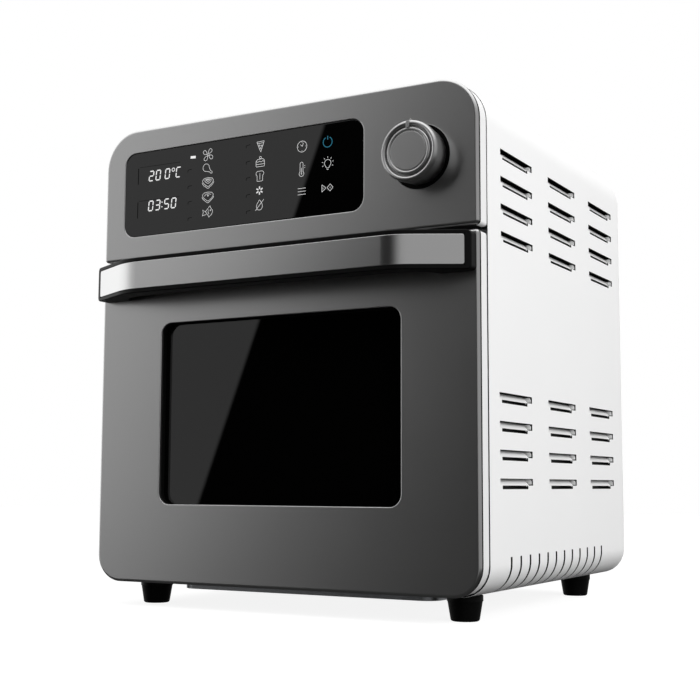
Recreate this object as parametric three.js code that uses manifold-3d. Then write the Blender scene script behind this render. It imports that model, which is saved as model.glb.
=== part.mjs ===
// A countertop air fryer oven with a drop-down front door, built from separate pieces.
// Millimetres. +X runs to the right, +Y to the back, +Z up.
// The origin lies on the table, under the middle of the oven's outer box.

import * as THREE from 'three';
import { mergeVertices } from 'three/addons/utils/BufferGeometryUtils.js';
import Module from 'manifold-3d';

const wasm = await Module();
wasm.setup();

// Outer size of the oven
const bodyWidth = 320;
const bodyDepth = 305;
const bodyTop = 367.5;
const underside = 17.5;
const topCorner = 30;
const bottomCorner = 21;
const halfWidth = bodyWidth / 2;

// Clearances and sheet thicknesses
const seat = 0.3;
const overrun = 3;
const casingSheet = 0.8;
const weld = 0.001;

// Facets: steps in an outline's corners, and sides of turned pieces
const cornerSteps = 2;
const outerSteps = 3;
const knobSides = 28;
const largeSides = 24;
const mediumSides = 16;
const smallSides = 12;
const tinySides = 8;

// Depths behind the front plane of the steel skins
const skinThickness = 3;
const skinRounding = 2.4;
const casingFront = 15.6;
const doorGroove = 1.3;
const faceFrameDepth = 18.5;
const faceFrameSheet = 1;
const backSheet = 1;

// Door and control panel edges
const panelHeight = 103.2;
const seamGap = 3.2;
const doorLift = 0.5;
const panelBottom = bodyTop - panelHeight;
const doorTop = panelBottom - seamGap;
const doorBottom = underside + doorLift;
const seamCorner = 3;
const frameInset = 0.4;
const frameWall = 2.5;
const frameWeb = 2.4;

// Door hinge
const hingeDepth = 9;
const hingeRise = 6;
const hingeHeight = doorBottom + hingeRise;
const hingePinRadius = 2.5;
const hingeInset = 42;
const hingeX = halfWidth - hingeInset;
const hingeRunning = 0.3;

// Window
const windowSide = 58;
const windowSill = 58.5;
const windowHead = 48.3;
const windowHalf = halfWidth - windowSide;
const windowBottom = doorBottom + windowSill;
const windowTop = doorTop - windowHead;
const windowCorner = 9;
const windowRecess = 7;
const paneMargin = 10;
const paneCorner = 5;
const paneThickness = 3;
const gasketCorner = 6;

// Handle
const handleEndInset = 2.4;
const handleSlope = 54.1;
const handleHeight = 24;
const handleTopInset = 3.1;
const gripProud = 32;
const bendRadius = 45;
const bendAngle = 27.6 * Math.PI / 180;
const handleHalf = halfWidth - handleEndInset;
const gripHalf = handleHalf - handleSlope;
const handleBottom = doorTop - handleTopInset - handleHeight;
const inlayEndInset = 3.6;
const inlayHalf = handleHalf - inlayEndInset;
const inlayMargin = 2;
const inlayThickness = 1;
const handleEndRounding = 3;
const fingerDepth = 17;
const fingerEndInset = 26;
const fingerArch = 31;
const fingerHalfAtDoor = handleHalf - fingerEndInset;
const fingerHalfAtGrip = fingerHalfAtDoor - fingerArch;
const handleScrewInset = 14.6;
const handleScrewX = handleHalf - handleScrewInset;
const handleScrewRadius = 2;
const handleScrewReach = 9;

// Display and knob on the control panel
const knobSide = 43.2;
const knobRise = 50.7;
const knobX = halfWidth - knobSide;
const knobZ = panelBottom + knobRise;
const displaySide = 19.3;
const displayKnobGap = 44;
const displayBottomMargin = 18.1;
const displayTopMargin = 18.5;
const displayLeft = -halfWidth + displaySide;
const displayRight = knobX - displayKnobGap;
const displayBottom = panelBottom + displayBottomMargin;
const displayTop = bodyTop - displayTopMargin;
const displayCorner = 10;
const displayInset = 0.4;
const displayLip = 5;
const knobHole = 22.5;
const knobProud = 18;

// Louvres: four rows in an upper and a lower group, three columns each
const louvreLength = 60;
const louvreHeight = 7.2;
const louvrePitch = 19.45;
const louvreRows = 4;
const louvreColumns = 3;
const upperLouvreDrop = 43.1;
const upperLouvreTop = bodyTop - upperLouvreDrop;
const upperLouvreFront = 38.5;
const upperLouvreBack = 20.1;
const lowerLouvreRise = 136.8;
const lowerLouvreTop = underside + lowerLouvreRise;
const lowerLouvreFront = 33.5;
const louvreRun = bodyDepth - upperLouvreFront - louvreLength - upperLouvreBack;
const louvreColumnPitch = louvreRun / (louvreColumns - 1);
const slatTopDepth = 5.2;
const slatFootDepth = 1.5;
const slatDrop = 4.7;
const slatLip = 0.4;
const slatGapFront = 4;
const slatGapBack = 9;

// Slots that wrap round the casing's lower corners
const slotCount = 12;
const slotFirst = 52.1;
const slotLastInset = 60.95;
const slotPitch = (bodyDepth - slotFirst - slotLastInset) / (slotCount - 1);
const slotWidth = 1.9;
const slotRise = 25.5;
const slotTop = underside + slotRise;
const slotReach = 26;
const slotInnerX = halfWidth - slotReach;

// Underside: the casing's open middle, the base plate and its pressed pan
const lowerFlange = 42;
const undersideOpeningHalf = halfWidth - lowerFlange;
const baseOverlap = 18;
const baseHalf = undersideOpeningHalf + baseOverlap;
const baseSheet = 0.8;
const panSideMargin = 9;
const panHalf = undersideOpeningHalf - panSideMargin;
const panFront = 38;
const panBackMargin = 43;
const panBack = bodyDepth - panBackMargin;
const panDrop = 5.9;
const panCorner = 12;

// Feet and their screws
const frontFootSide = 28.5;
const rearFootSide = 32;
const frontFootDepth = 38;
const rearFootInset = 35;
const rearFootDepth = bodyDepth - rearFootInset;
const footTopRadius = 12.4;
const footCollar = 4;
const footNeckRadius = 12;
const footBottomRadius = 10;
const footRounding = 1.2;
const footBore = 4.2;
const footScrewRadius = 2;
const footScrewHead = 3.6;
const footScrewHeadHeight = 2.4;
const footScrewSink = 7;
const footScrewTip = 3;

// Cavity
const cavitySide = 32;
const cavityRise = 24.5;
const cavityHead = 14.1;
const cavityRear = 30;
const cavityHalf = halfWidth - cavitySide;
const cavityFloor = underside + cavityRise;
const cavityCeiling = doorTop - cavityHead;
const cavityBack = bodyDepth - cavityRear;
const cavitySheet = 0.7;

// Door seal round the cavity mouth
const sealMargin = 1.5;
const sealWidth = 5.5;
const sealCorner = 5;

// Inner door panel, a pressed dish that enters the cavity mouth
const innerPanelFront = 13.1;
const innerPanelSheet = 1;
const innerPanelSide = 14;
const innerPanelFoot = 22;
const innerPanelHead = 11.1;
const innerPanelHalf = halfWidth - innerPanelSide;
const innerPanelBottom = doorBottom + innerPanelFoot;
const innerPanelTop = doorTop - innerPanelHead;
const dishMargin = 6;
const dishHalf = cavityHalf - dishMargin;
const dishBottom = cavityFloor + dishMargin;
const dishTop = cavityCeiling - dishMargin;
const dishBack = 20;
const dishCorner = 8;
const dishWindowMargin = 2;

// Rack guides and what slides on them
const guideSheet = 1;
const guideFront = 30;
const guideRear = 13;
const guideBack = cavityBack - guideRear;
const guideRise = 38;
const guideBottom = cavityFloor + guideRise;
const ledgeWidth = 6;
const ledgeCount = 4;
const ledgeRise = 11;
const ledgePitch = 18;
const ledgeHead = 15;
const ledgeHeight = (row) => guideBottom + ledgeRise + row * ledgePitch;
const guideTop = ledgeHeight(ledgeCount - 1) + ledgeHead;
const rackSide = 2.8;
const rackInset = 3;
const rackRear = 4;
const rackHalf = cavityHalf - rackSide;
const rackFront = guideFront + rackInset;
const rackBack = guideBack - rackRear;
const rackWire = 4;
const rackRodRadius = 1.3;
const rackRods = 13;
const rackRodSides = 6;
const rackRow = 2;
const trayRow = 0;
const rackCorner = 10;
const trayRim = 8;
const trayDepth = 14;
const traySheet = 0.8;
const trayCorner = 14;
const crumbSide = 3;
const crumbHalf = cavityHalf - crumbSide;
const crumbFront = 24;
const crumbRear = 7;
const crumbBack = cavityBack - crumbRear;
const crumbRim = 4;

// Heating and air
const fanRear = 127;
const fanDepth = cavityBack - fanRear;
const heaterRadius = 3.25;
const upperHeaterDrop = 11;
const upperHeaterHeight = cavityCeiling - upperHeaterDrop;
const upperHeaterLoop = 88;
const upperHeaterLegX = 22;
const loopOpeningShare = 1.7;
const lowerHeaterRise = 8.2;
const lowerHeaterHeight = cavityFloor + lowerHeaterRise;
const lowerHeaterFront = 85;
const lowerHeaterRear = 70;
const lowerHeaterBack = cavityBack - lowerHeaterRear;
const lowerHeaterSide = 33;
const lowerHeaterRight = cavityHalf - lowerHeaterSide;
const heaterTail = 10;
const heaterSides = 6;
const upperHeaterSteps = 40;
const lowerHeaterSteps = 28;
const heaterHole = 4.4;
const guardRadius = 74;
const guardDrop = 21;
const guardSheet = 1;
const guardFlange = 6;
const guardSlots = 12;
const guardSlotInner = 14;
const guardSlotOuter = 52;
const guardSlotWidth = 4;
const shaftRadius = 3;
const shaftDrop = 17;
const shaftBottom = cavityCeiling - shaftDrop;
const shaftAboveMotor = 26.4;
const shaftHole = 8;

// Motor above the cavity
const shieldSide = 28;
const shieldRear = 35;
const shieldHalf = cavityHalf - shieldSide;
const shieldFront = 60;
const shieldBack = cavityBack - shieldRear;
const shieldHeight = 10;
const shieldSheet = 1;
const bracketHalf = 40;
const bracketDepthHalf = 30;
const bracketRise = 8;
const bracketSheet = 1.5;
const statorHalf = 30;
const statorHeight = 26;
const statorBore = 13;
const rotorRadius = 12.3;
const rotorHeight = 22;

// Fans
const convectionRadius = 56;
const convectionBlades = 8;
const convectionBladeHeight = 11;
const convectionDisc = 1;
const convectionLift = 1.5;
const fanHubRadius = 8;
const fanBladeThickness = 1.2;
const coolingRadius = 58;
const coolingBlades = 7;
const coolingHeight = 14;
const coolingHubRadius = 12;
const coolingDrop = 3;
const coolingPitch = 32 * Math.PI / 180;

// Lamp, probe and cut-out, with the thickness of their fixing flanges
const flangeSheet = 1;
const lampRear = 60;
const lampDepth = cavityBack - lampRear;
const lampHole = 17;
const lampFlange = 21;
const lampGuideGap = 1;
const lampHeight = guideTop + lampGuideGap + lampFlange;
const lampDome = 9;
const lampGlass = 1.5;
const domeShoulderShare = 0.7;
const domeHeightShare = 0.75;
const bulbRadius = 6;
const bulbShoulderShare = 0.7;
const lampSocketRadius = 10.2;
const lampSocketGap = 6;
const probeRear = 35;
const probeDrop = 35;
const probeDepth = cavityBack - probeRear;
const probeHeight = cavityCeiling - probeDrop;
const probeRadius = 2.5;
const probeReach = 28;
const probeTipShare = 0.6;
const probeCollarShare = 2.4;
const probeTail = 10;
const cutoutSide = 30;
const cutoutFront = 30;
const cutoutX = shieldHalf - cutoutSide;
const cutoutDepth = shieldFront + cutoutFront;
const cutoutRadius = 8;
const cutoutHeight = 8;
const cutoutEarShare = 1.7;

// Boards
const boardSheet = 1.6;
const postRadius = 2.5;
const displayBoardDepth = 12;
const displayBoardMargin = 7;
const mainBoardSide = 2;
const mainBoardWidth = 53;
const mainBoardEnd = 10;
const mainBoardLeft = -shieldHalf + mainBoardSide;
const mainBoardRight = mainBoardLeft + mainBoardWidth;
const mainBoardFront = shieldFront + mainBoardEnd;
const mainBoardBack = shieldBack - mainBoardEnd;
const mainBoardRise = 12;
const boardPartHeight = 16.8;

// Back panel furniture
const spacerLength = 15;
const spacerInset = 48;
const spacerRise = 197.5;
const spacerX = halfWidth - spacerInset;
const spacerZ = underside + spacerRise;
const spacerRadius = 11;
const spacerTip = 8;
const studRadius = 3;
const studReach = 3;
const glandInset = 42;
const glandRise = 30.5;
const glandX = -halfWidth + glandInset;
const glandZ = underside + glandRise;
const glandBore = 4;
const glandNeck = 8;
const glandFlange = 12;
const glandFlangeDepth = 6;
const glandTail = 8;
const ventColumns = 3;
const ventRows = 5;
const ventLength = 58;
const ventWidth = 4;
const ventPitchX = 68;
const ventPitchZ = 10;
const ventDrop = 95.5;
const ventBottom = bodyTop - ventDrop;
const backScrewInset = 14;
const backScrewEnd = 42.5;
const backScrewX = halfWidth - backScrewInset;
const backScrewLow = underside + backScrewEnd;
const backScrewHigh = bodyTop - backScrewEnd;
const backScrewRadius = 1.8;
const backScrewHead = 3.6;
const backScrewHeadHeight = 1.8;
const backScrewReach = 8;
const backScrewCrownShare = 0.8;

// Where the front plane of the skins lies, so that the outer box is centred on the origin
const frontPlane = (gripProud - bodyDepth - seat - spacerLength) / 2;
const at = (depth) => frontPlane + depth;

// Finishes
const finishes = {
  skinSteel: { color: 0x5c5d5f, roughness: 0.4, metalness: 0.7 },
  whiteSheet: { color: 0xf2f2f0, roughness: 0.35, metalness: 0 },
  whitePlastic: { color: 0xe6e6e4, roughness: 0.4, metalness: 0 },
  blackPlastic: { color: 0x101011, roughness: 0.35, metalness: 0 },
  rubber: { color: 0x0b0b0b, roughness: 0.6, metalness: 0 },
  darkGlass: { color: 0x050506, roughness: 0.05, metalness: 0 },
  clearGlass: { color: 0x9aa4a8, roughness: 0.05, metalness: 0 },
  handleSteel: { color: 0x9c9c9c, roughness: 0.3, metalness: 0.9 },
  brightSteel: { color: 0xb9bbbd, roughness: 0.35, metalness: 0.9 },
  galvanised: { color: 0x9fa3a6, roughness: 0.45, metalness: 0.8 },
  enamel: { color: 0x1c1c1e, roughness: 0.3, metalness: 0.1 },
  heaterSheath: { color: 0x4a4744, roughness: 0.5, metalness: 0.6 },
  circuitBoard: { color: 0x1f4a2c, roughness: 0.6, metalness: 0 },
  motorIron: { color: 0x55585c, roughness: 0.5, metalness: 0.6 },
  silicone: { color: 0x2a2a2c, roughness: 0.7, metalness: 0 },
};

const oven = new THREE.Group();

function addPiece(name, solid, finish) {
  const mesh = new THREE.Mesh(geometryOf(solid), new THREE.MeshStandardMaterial(finishes[finish]));
  mesh.name = name;
  oven.add(mesh);
}

// Solids from three.js geometry, and back again
function solidOf(geometry) {
  const bare = geometry.clone();
  bare.deleteAttribute('normal');
  bare.deleteAttribute('uv');
  const merged = mergeVertices(bare, weld);
  const vertProperties = new Float32Array(merged.attributes.position.array);
  const triVerts = new Uint32Array(merged.index.array);
  return new wasm.Manifold(new wasm.Mesh({ numProp: 3, vertProperties, triVerts }));
}

function geometryOf(solid) {
  const mesh = solid.getMesh();
  const geometry = new THREE.BufferGeometry();
  geometry.setAttribute('position', new THREE.BufferAttribute(new Float32Array(mesh.vertProperties), 3));
  geometry.setIndex(new THREE.BufferAttribute(new Uint32Array(mesh.triVerts), 1));
  geometry.computeVertexNormals();
  return geometry;
}

// A box between two corners, given in any order
function block(x0, x1, y0, y1, z0, z1) {
  const geometry = new THREE.BoxGeometry(Math.abs(x1 - x0), Math.abs(y1 - y0), Math.abs(z1 - z0));
  geometry.translate((x0 + x1) / 2, (y0 + y1) / 2, (z0 + z1) / 2);
  return solidOf(geometry);
}

function outlineOf(points) {
  return new THREE.Shape(points.map((point) => new THREE.Vector2(point[0], point[1])));
}

// A rectangle in the XZ plane with its own radius at the top and bottom corners
function roundedOutline(x0, x1, z0, z1, topRadius, bottomRadius) {
  const shape = new THREE.Shape();
  shape.moveTo(x0 + bottomRadius, z0);
  shape.lineTo(x1 - bottomRadius, z0);
  shape.absarc(x1 - bottomRadius, z0 + bottomRadius, bottomRadius, -Math.PI / 2, 0, false);
  shape.lineTo(x1, z1 - topRadius);
  shape.absarc(x1 - topRadius, z1 - topRadius, topRadius, 0, Math.PI / 2, false);
  shape.lineTo(x0 + topRadius, z1);
  shape.absarc(x0 + topRadius, z1 - topRadius, topRadius, Math.PI / 2, Math.PI, false);
  shape.lineTo(x0, z0 + bottomRadius);
  shape.absarc(x0 + bottomRadius, z0 + bottomRadius, bottomRadius, Math.PI, Math.PI * 1.5, false);
  return shape;
}

// An outline in the XZ plane, drawn out along Y from y0 to y1
function slabY(shape, y0, y1, curveSteps = cornerSteps) {
  const geometry = new THREE.ExtrudeGeometry(shape, {
    depth: y1 - y0, bevelEnabled: false, curveSegments: curveSteps,
  });
  geometry.rotateX(Math.PI / 2);
  geometry.translate(0, y1, 0);
  return solidOf(geometry);
}

// The same, with its front edge rounded
function roundedSlabY(shape, y0, y1, rounding) {
  const geometry = new THREE.ExtrudeGeometry(shape, {
    depth: y1 - y0, bevelEnabled: true, bevelThickness: rounding, bevelSize: rounding,
    bevelOffset: -rounding, bevelSegments: cornerSteps, curveSegments: outerSteps,
  });
  geometry.rotateX(Math.PI / 2);
  geometry.translate(0, y1 + rounding, 0);
  const front = block(-bodyWidth, bodyWidth, y0 - overrun, y1, -overrun, bodyTop + overrun);
  return solidOf(geometry).intersect(front);
}

// An outline in the XY plane, drawn up from z0 to z1
function slabZ(shape, z0, z1, curveSteps = cornerSteps) {
  const geometry = new THREE.ExtrudeGeometry(shape, {
    depth: z1 - z0, bevelEnabled: false, curveSegments: curveSteps,
  });
  geometry.translate(0, 0, z0);
  return solidOf(geometry);
}

// A turned piece: profile points are [radius, distance along the axis]
function turned(profile, sides) {
  const points = profile.map((point) => new THREE.Vector2(point[0], point[1]));
  return new THREE.LatheGeometry(points, sides);
}

function turnedZ(profile, x, y, z, sides) {
  const geometry = turned(profile, sides);
  geometry.rotateX(Math.PI / 2);
  geometry.translate(x, y, z);
  return solidOf(geometry);
}

// Distance along the axis grows towards the back
function turnedY(profile, x, y, z, sides) {
  const geometry = turned(profile, sides);
  geometry.translate(x, y, z);
  return solidOf(geometry);
}

// Distance along the axis grows away from the middle of the oven on the given side
function turnedX(profile, x, y, z, sides, side = 1) {
  const geometry = turned(profile, sides);
  geometry.rotateZ(-side * Math.PI / 2);
  geometry.translate(x, y, z);
  return solidOf(geometry);
}

function rodZ(radius, x, y, z0, z1, sides = smallSides) {
  return turnedZ([[0, z0], [radius, z0], [radius, z1], [0, z1]], x, y, 0, sides);
}

function rodY(radius, x, y0, y1, z, sides = smallSides) {
  return turnedY([[0, y0], [radius, y0], [radius, y1], [0, y1]], x, 0, z, sides);
}

function rodX(radius, x0, x1, y, z, sides = smallSides) {
  const low = Math.min(x0, x1);
  const high = Math.max(x0, x1);
  return turnedX([[0, low], [radius, low], [radius, high], [0, high]], 0, y, z, sides);
}

// A bent round bar along a curve through the given points
function bentBar(points, radius, steps, sides) {
  const section = [];
  for (let i = 0; i < sides; i += 1) {
    const angle = 2 * Math.PI * i / sides;
    section.push([radius * Math.cos(angle), radius * Math.sin(angle)]);
  }
  const route = points.map((point) => new THREE.Vector3(...point));
  const geometry = new THREE.ExtrudeGeometry(outlineOf(section), {
    steps, bevelEnabled: false, extrudePath: new THREE.CatmullRomCurve3(route, false, 'centripetal'),
  });
  return solidOf(geometry);
}

function joined(solids) {
  return solids.reduce((whole, solid) => whole.add(solid));
}

function cut(solid, cutters) {
  return cutters.reduce((rest, cutter) => rest.subtract(cutter), solid);
}

// Casing

// One louvre: a slanted slat pressed inwards between two end walls, open above and below it
function louvre(side, front, top) {
  const across = (depth) => side * (halfWidth - depth);
  const foot = top - slatDrop;
  const pocket = outlineOf([
    [across(casingSheet / 2), top - slatLip],
    [across(slatTopDepth + casingSheet), top - slatLip],
    [across(slatFootDepth + casingSheet), foot - casingSheet],
    [across(casingSheet / 2), foot - casingSheet],
  ]);
  const hollow = outlineOf([
    [across(-overrun), top],
    [across(slatTopDepth), top],
    [across(slatFootDepth), foot],
    [across(-overrun), foot],
  ]);
  const y0 = at(front);
  const y1 = y0 + louvreLength;
  return {
    wall: slabY(pocket, y0 - casingSheet, y1 + casingSheet),
    hollow: slabY(hollow, y0, y1),
    gap: block(across(-overrun), across(slatFootDepth + casingSheet + overrun),
      y0 + slatGapFront, y1 - slatGapBack, top - louvreHeight, foot),
  };
}

function casingShell() {
  const outer = roundedOutline(-halfWidth, halfWidth, underside, bodyTop, topCorner, bottomCorner);
  const inner = roundedOutline(-halfWidth + casingSheet, halfWidth - casingSheet,
    underside + casingSheet, bodyTop - casingSheet, topCorner - casingSheet, bottomCorner - casingSheet);
  const back = at(bodyDepth - backSheet - seat);
  let shell = slabY(outer, at(casingFront), back, outerSteps);
  shell = shell.subtract(slabY(inner, at(casingFront) - overrun, back + overrun));
  shell = shell.subtract(block(-undersideOpeningHalf, undersideOpeningHalf, at(casingFront) - overrun,
    back + overrun, underside - overrun, underside + casingSheet + overrun));
  for (const side of [-1, 1]) {
    for (let column = 0; column < louvreColumns; column += 1) {
      for (let row = 0; row < louvreRows; row += 1) {
        const along = column * louvreColumnPitch;
        const down = row * louvrePitch;
        for (const [front, top] of [[upperLouvreFront, upperLouvreTop], [lowerLouvreFront, lowerLouvreTop]]) {
          const { wall, hollow, gap } = louvre(side, front + along, top - down);
          shell = shell.add(wall).subtract(hollow).subtract(gap);
        }
      }
    }
    for (let i = 0; i < slotCount; i += 1) {
      const middle = at(slotFirst + i * slotPitch);
      shell = shell.subtract(block(side * slotInnerX, side * (halfWidth + overrun),
        middle - slotWidth / 2, middle + slotWidth / 2, underside - overrun, slotTop));
    }
  }
  return cut(shell, footPlaces().map(([x, y]) => rodZ(footScrewRadius + seat, x, y,
    underside - overrun, underside + overrun)));
}

function footPlaces() {
  const places = [];
  for (const [inset, depth] of [[frontFootSide, frontFootDepth], [rearFootSide, rearFootDepth]]) {
    for (const side of [-1, 1]) {
      places.push([side * (halfWidth - inset), at(depth)]);
    }
  }
  return places;
}

// Base plate over the casing's lower flanges, with a pan pressed down through the opening
const basePlateBottom = underside + casingSheet + seat;
const basePlateTop = basePlateBottom + baseSheet;

function roundedPlan(x0, x1, y0, y1, radius) {
  return roundedOutline(x0, x1, y0, y1, radius, radius);
}

function basePlate() {
  const front = at(faceFrameDepth + faceFrameSheet + seat);
  const back = at(bodyDepth - backSheet - seat);
  const panBottom = underside - panDrop;
  const outer = roundedPlan(-panHalf, panHalf, at(panFront), at(panBack), panCorner);
  const inner = roundedPlan(-panHalf + baseSheet, panHalf - baseSheet,
    at(panFront) + baseSheet, at(panBack) - baseSheet, panCorner - baseSheet);
  const plate = block(-baseHalf, baseHalf, front, back, basePlateBottom, basePlateTop)
    .add(slabZ(outer, panBottom, basePlateTop))
    .subtract(slabZ(inner, panBottom + baseSheet, basePlateTop + overrun));
  return cut(plate, footPlaces().map(([x, y]) => rodZ(footScrewRadius + seat, x, y,
    basePlateBottom - overrun, basePlateTop + overrun)));
}

function foot(x, y) {
  const top = underside - seat;
  const ledge = footScrewSink + footScrewHeadHeight + seat;
  return turnedZ([
    [footBore, 0],
    [footBottomRadius - footRounding, 0],
    [footBottomRadius, footRounding],
    [footNeckRadius, top - footCollar],
    [footTopRadius, top - footCollar],
    [footTopRadius, top],
    [footScrewRadius + seat, top],
    [footScrewRadius + seat, ledge],
    [footBore, ledge],
    [footBore, 0],
  ], x, y, 0, mediumSides);
}

function footScrew(x, y) {
  const tip = basePlateTop + footScrewTip;
  const shoulder = footScrewSink + footScrewHeadHeight;
  return turnedZ([
    [0, footScrewSink],
    [footScrewHead, footScrewSink],
    [footScrewHead, shoulder],
    [footScrewRadius, shoulder],
    [footScrewRadius, tip],
    [0, tip],
  ], x, y, 0, tinySides);
}

// Back panel with vents, spacers, cord gland and screws
function backScrewPlaces() {
  const places = [];
  for (const z of [backScrewLow, backScrewHigh]) {
    for (const side of [-1, 1]) {
      places.push([side * backScrewX, z]);
    }
  }
  return places;
}

function backPanel() {
  const outline = roundedOutline(-halfWidth, halfWidth, underside, bodyTop, topCorner, bottomCorner);
  const y0 = at(bodyDepth - backSheet);
  const y1 = at(bodyDepth);
  const cutters = [rodY(glandNeck + seat, glandX, y0 - overrun, y1 + overrun, glandZ)];
  for (let column = 0; column < ventColumns; column += 1) {
    const middle = (column - (ventColumns - 1) / 2) * ventPitchX;
    for (let row = 0; row < ventRows; row += 1) {
      const bottom = ventBottom + row * ventPitchZ;
      cutters.push(block(middle - ventLength / 2, middle + ventLength / 2,
        y0 - overrun, y1 + overrun, bottom, bottom + ventWidth));
    }
  }
  for (const side of [-1, 1]) {
    cutters.push(rodY(studRadius + seat, side * spacerX, y0 - overrun, y1 + overrun, spacerZ));
  }
  for (const [x, z] of backScrewPlaces()) {
    cutters.push(rodY(backScrewRadius + seat, x, y0 - overrun, y1 + overrun, z, tinySides));
  }
  return cut(slabY(outline, y0, y1, outerSteps), cutters);
}

function wallSpacer(side) {
  const face = at(bodyDepth) + seat;
  const stud = at(bodyDepth - backSheet) - studReach;
  return turnedY([
    [0, stud],
    [studRadius, stud],
    [studRadius, face],
    [spacerRadius, face],
    [spacerTip, face + spacerLength],
    [0, face + spacerLength],
  ], side * spacerX, 0, spacerZ, mediumSides);
}

function backScrew(x, z) {
  const face = at(bodyDepth) + seat;
  return turnedY([
    [0, face - backScrewReach],
    [backScrewRadius, face - backScrewReach],
    [backScrewRadius, face],
    [backScrewHead, face],
    [backScrewHead * backScrewCrownShare, face + backScrewHeadHeight],
    [0, face + backScrewHeadHeight],
  ], x, 0, z, tinySides);
}

function cordGland() {
  const face = at(bodyDepth) + seat;
  const tail = face - glandTail;
  const nose = face + glandFlangeDepth;
  return turnedY([
    [glandBore, tail],
    [glandNeck, tail],
    [glandNeck, face],
    [glandFlange, face],
    [glandNeck, nose],
    [glandBore, nose],
    [glandBore, tail],
  ], glandX, 0, glandZ, mediumSides);
}

// Face frame round the cavity mouth
function faceFrame() {
  const edge = halfWidth - casingSheet - seat;
  const inset = casingSheet + seat;
  const outline = roundedOutline(-edge, edge, underside + inset, panelBottom,
    seamCorner, bottomCorner - inset);
  const y0 = at(faceFrameDepth);
  const y1 = y0 + faceFrameSheet;
  return slabY(outline, y0, y1).subtract(block(-cavityHalf, cavityHalf, y0 - overrun, y1 + overrun,
    cavityFloor, cavityCeiling));
}

// Control panel
const controlPanelFrameBack = casingFront - seat;

function controlPanelSkin() {
  const outline = roundedOutline(-halfWidth, halfWidth, panelBottom, bodyTop, topCorner, seamCorner);
  const skin = roundedSlabY(outline, at(0), at(skinThickness), skinRounding);
  const display = roundedOutline(displayLeft, displayRight, displayBottom, displayTop,
    displayCorner, displayCorner);
  return skin
    .subtract(slabY(display, at(-overrun), at(skinThickness + overrun)))
    .subtract(rodY(knobHole, knobX, at(-overrun), at(skinThickness + overrun), knobZ, knobSides));
}

function controlPanelFrame() {
  const outline = (inset) => roundedOutline(-halfWidth + inset, halfWidth - inset,
    panelBottom + inset, bodyTop - inset, topCorner - inset, Math.max(seamCorner - inset, weld));
  const front = skinThickness + seat;
  const windowHole = roundedOutline(displayLeft + displayLip, displayRight - displayLip,
    displayBottom + displayLip, displayTop - displayLip, displayLip, displayLip);
  return slabY(outline(frameInset), at(front), at(controlPanelFrameBack), outerSteps)
    .subtract(slabY(outline(frameInset + frameWall), at(front + frameWeb),
      at(controlPanelFrameBack + overrun)))
    .subtract(slabY(windowHole, at(0), at(front + frameWeb + overrun)))
    .subtract(rodY(encoderFlange + seat, knobX, at(0), at(front + frameWeb + overrun), knobZ, largeSides));
}

function displayGlass() {
  const outline = roundedOutline(displayLeft + seat, displayRight - seat, displayBottom + seat,
    displayTop - seat, displayCorner - seat, displayCorner - seat);
  return slabY(outline, at(displayInset), at(skinThickness));
}

function displayBoard() {
  const x0 = displayLeft - displayBoardMargin;
  const x1 = displayRight + displayBoardMargin;
  const z0 = displayBottom - displayBoardMargin;
  const z1 = displayTop + displayBoardMargin;
  const web = skinThickness + seat + frameWeb + seat;
  const solids = [block(x0, x1, at(displayBoardDepth), at(displayBoardDepth + boardSheet), z0, z1)];
  for (const x of [x0 + postRadius, x1 - postRadius]) {
    for (const z of [z0 + postRadius, z1 - postRadius]) {
      solids.push(rodY(postRadius, x, at(web), at(displayBoardDepth + weld), z, tinySides));
    }
  }
  // Light guides for the readouts and the columns of symbols: [left, right] as shares of the glass
  const guideShares = [[0.06, 0.3], [0.36, 0.44], [0.56, 0.68], [0.8, 0.95]];
  const span = displayRight - displayLeft;
  for (const [leftShare, rightShare] of guideShares) {
    solids.push(block(displayLeft + span * leftShare, displayLeft + span * rightShare,
      at(skinThickness + seat * 2), at(displayBoardDepth + weld),
      displayBottom + displayLip * 2, displayTop - displayLip * 2));
  }
  return joined(solids);
}

// Rotary encoder with the dark disc that closes the knob's hole
const encoderFlange = 24;
const encoderDisc = 1;
const encoderHalf = 7.5;
const encoderBack = 13;
const encoderShaft = 3;
const encoderShaftProud = 9;

function knobEncoder() {
  const front = skinThickness + seat;
  return joined([
    rodY(encoderFlange, knobX, at(front), at(front + encoderDisc), knobZ, largeSides),
    block(knobX - encoderHalf, knobX + encoderHalf, at(front), at(encoderBack),
      knobZ - encoderHalf, knobZ + encoderHalf),
    rodY(encoderShaft, knobX, at(-encoderShaftProud), at(front + encoderDisc), knobZ),
  ]);
}

// Knob: a skirt that widens to a rounded rim, a sunk ring and a flat disc inside it
const knobSkirt = 19.6;
const knobRim = 21.2;
const knobSkirtSink = 1.2;
const knobRimProud = 15.2;
const knobShoulderRadius = 20.4;
const knobShoulderProud = 17.6;
const knobBevelRadius = 18.2;
const knobBevelProud = 18.8;
const knobGrooveRadius = 17;
const knobGrooveProud = 15.6;
const knobDiscRadius = 15.4;
const knobLineRadius = 12.9;
const knobLineWidth = 0.6;
const knobLineDepth = 0.7;
const knobWall = 2.5;
const knobHub = 6.5;
const knobPointerWidth = 2.6;
const knobPointerProud = 2.2;

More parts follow.
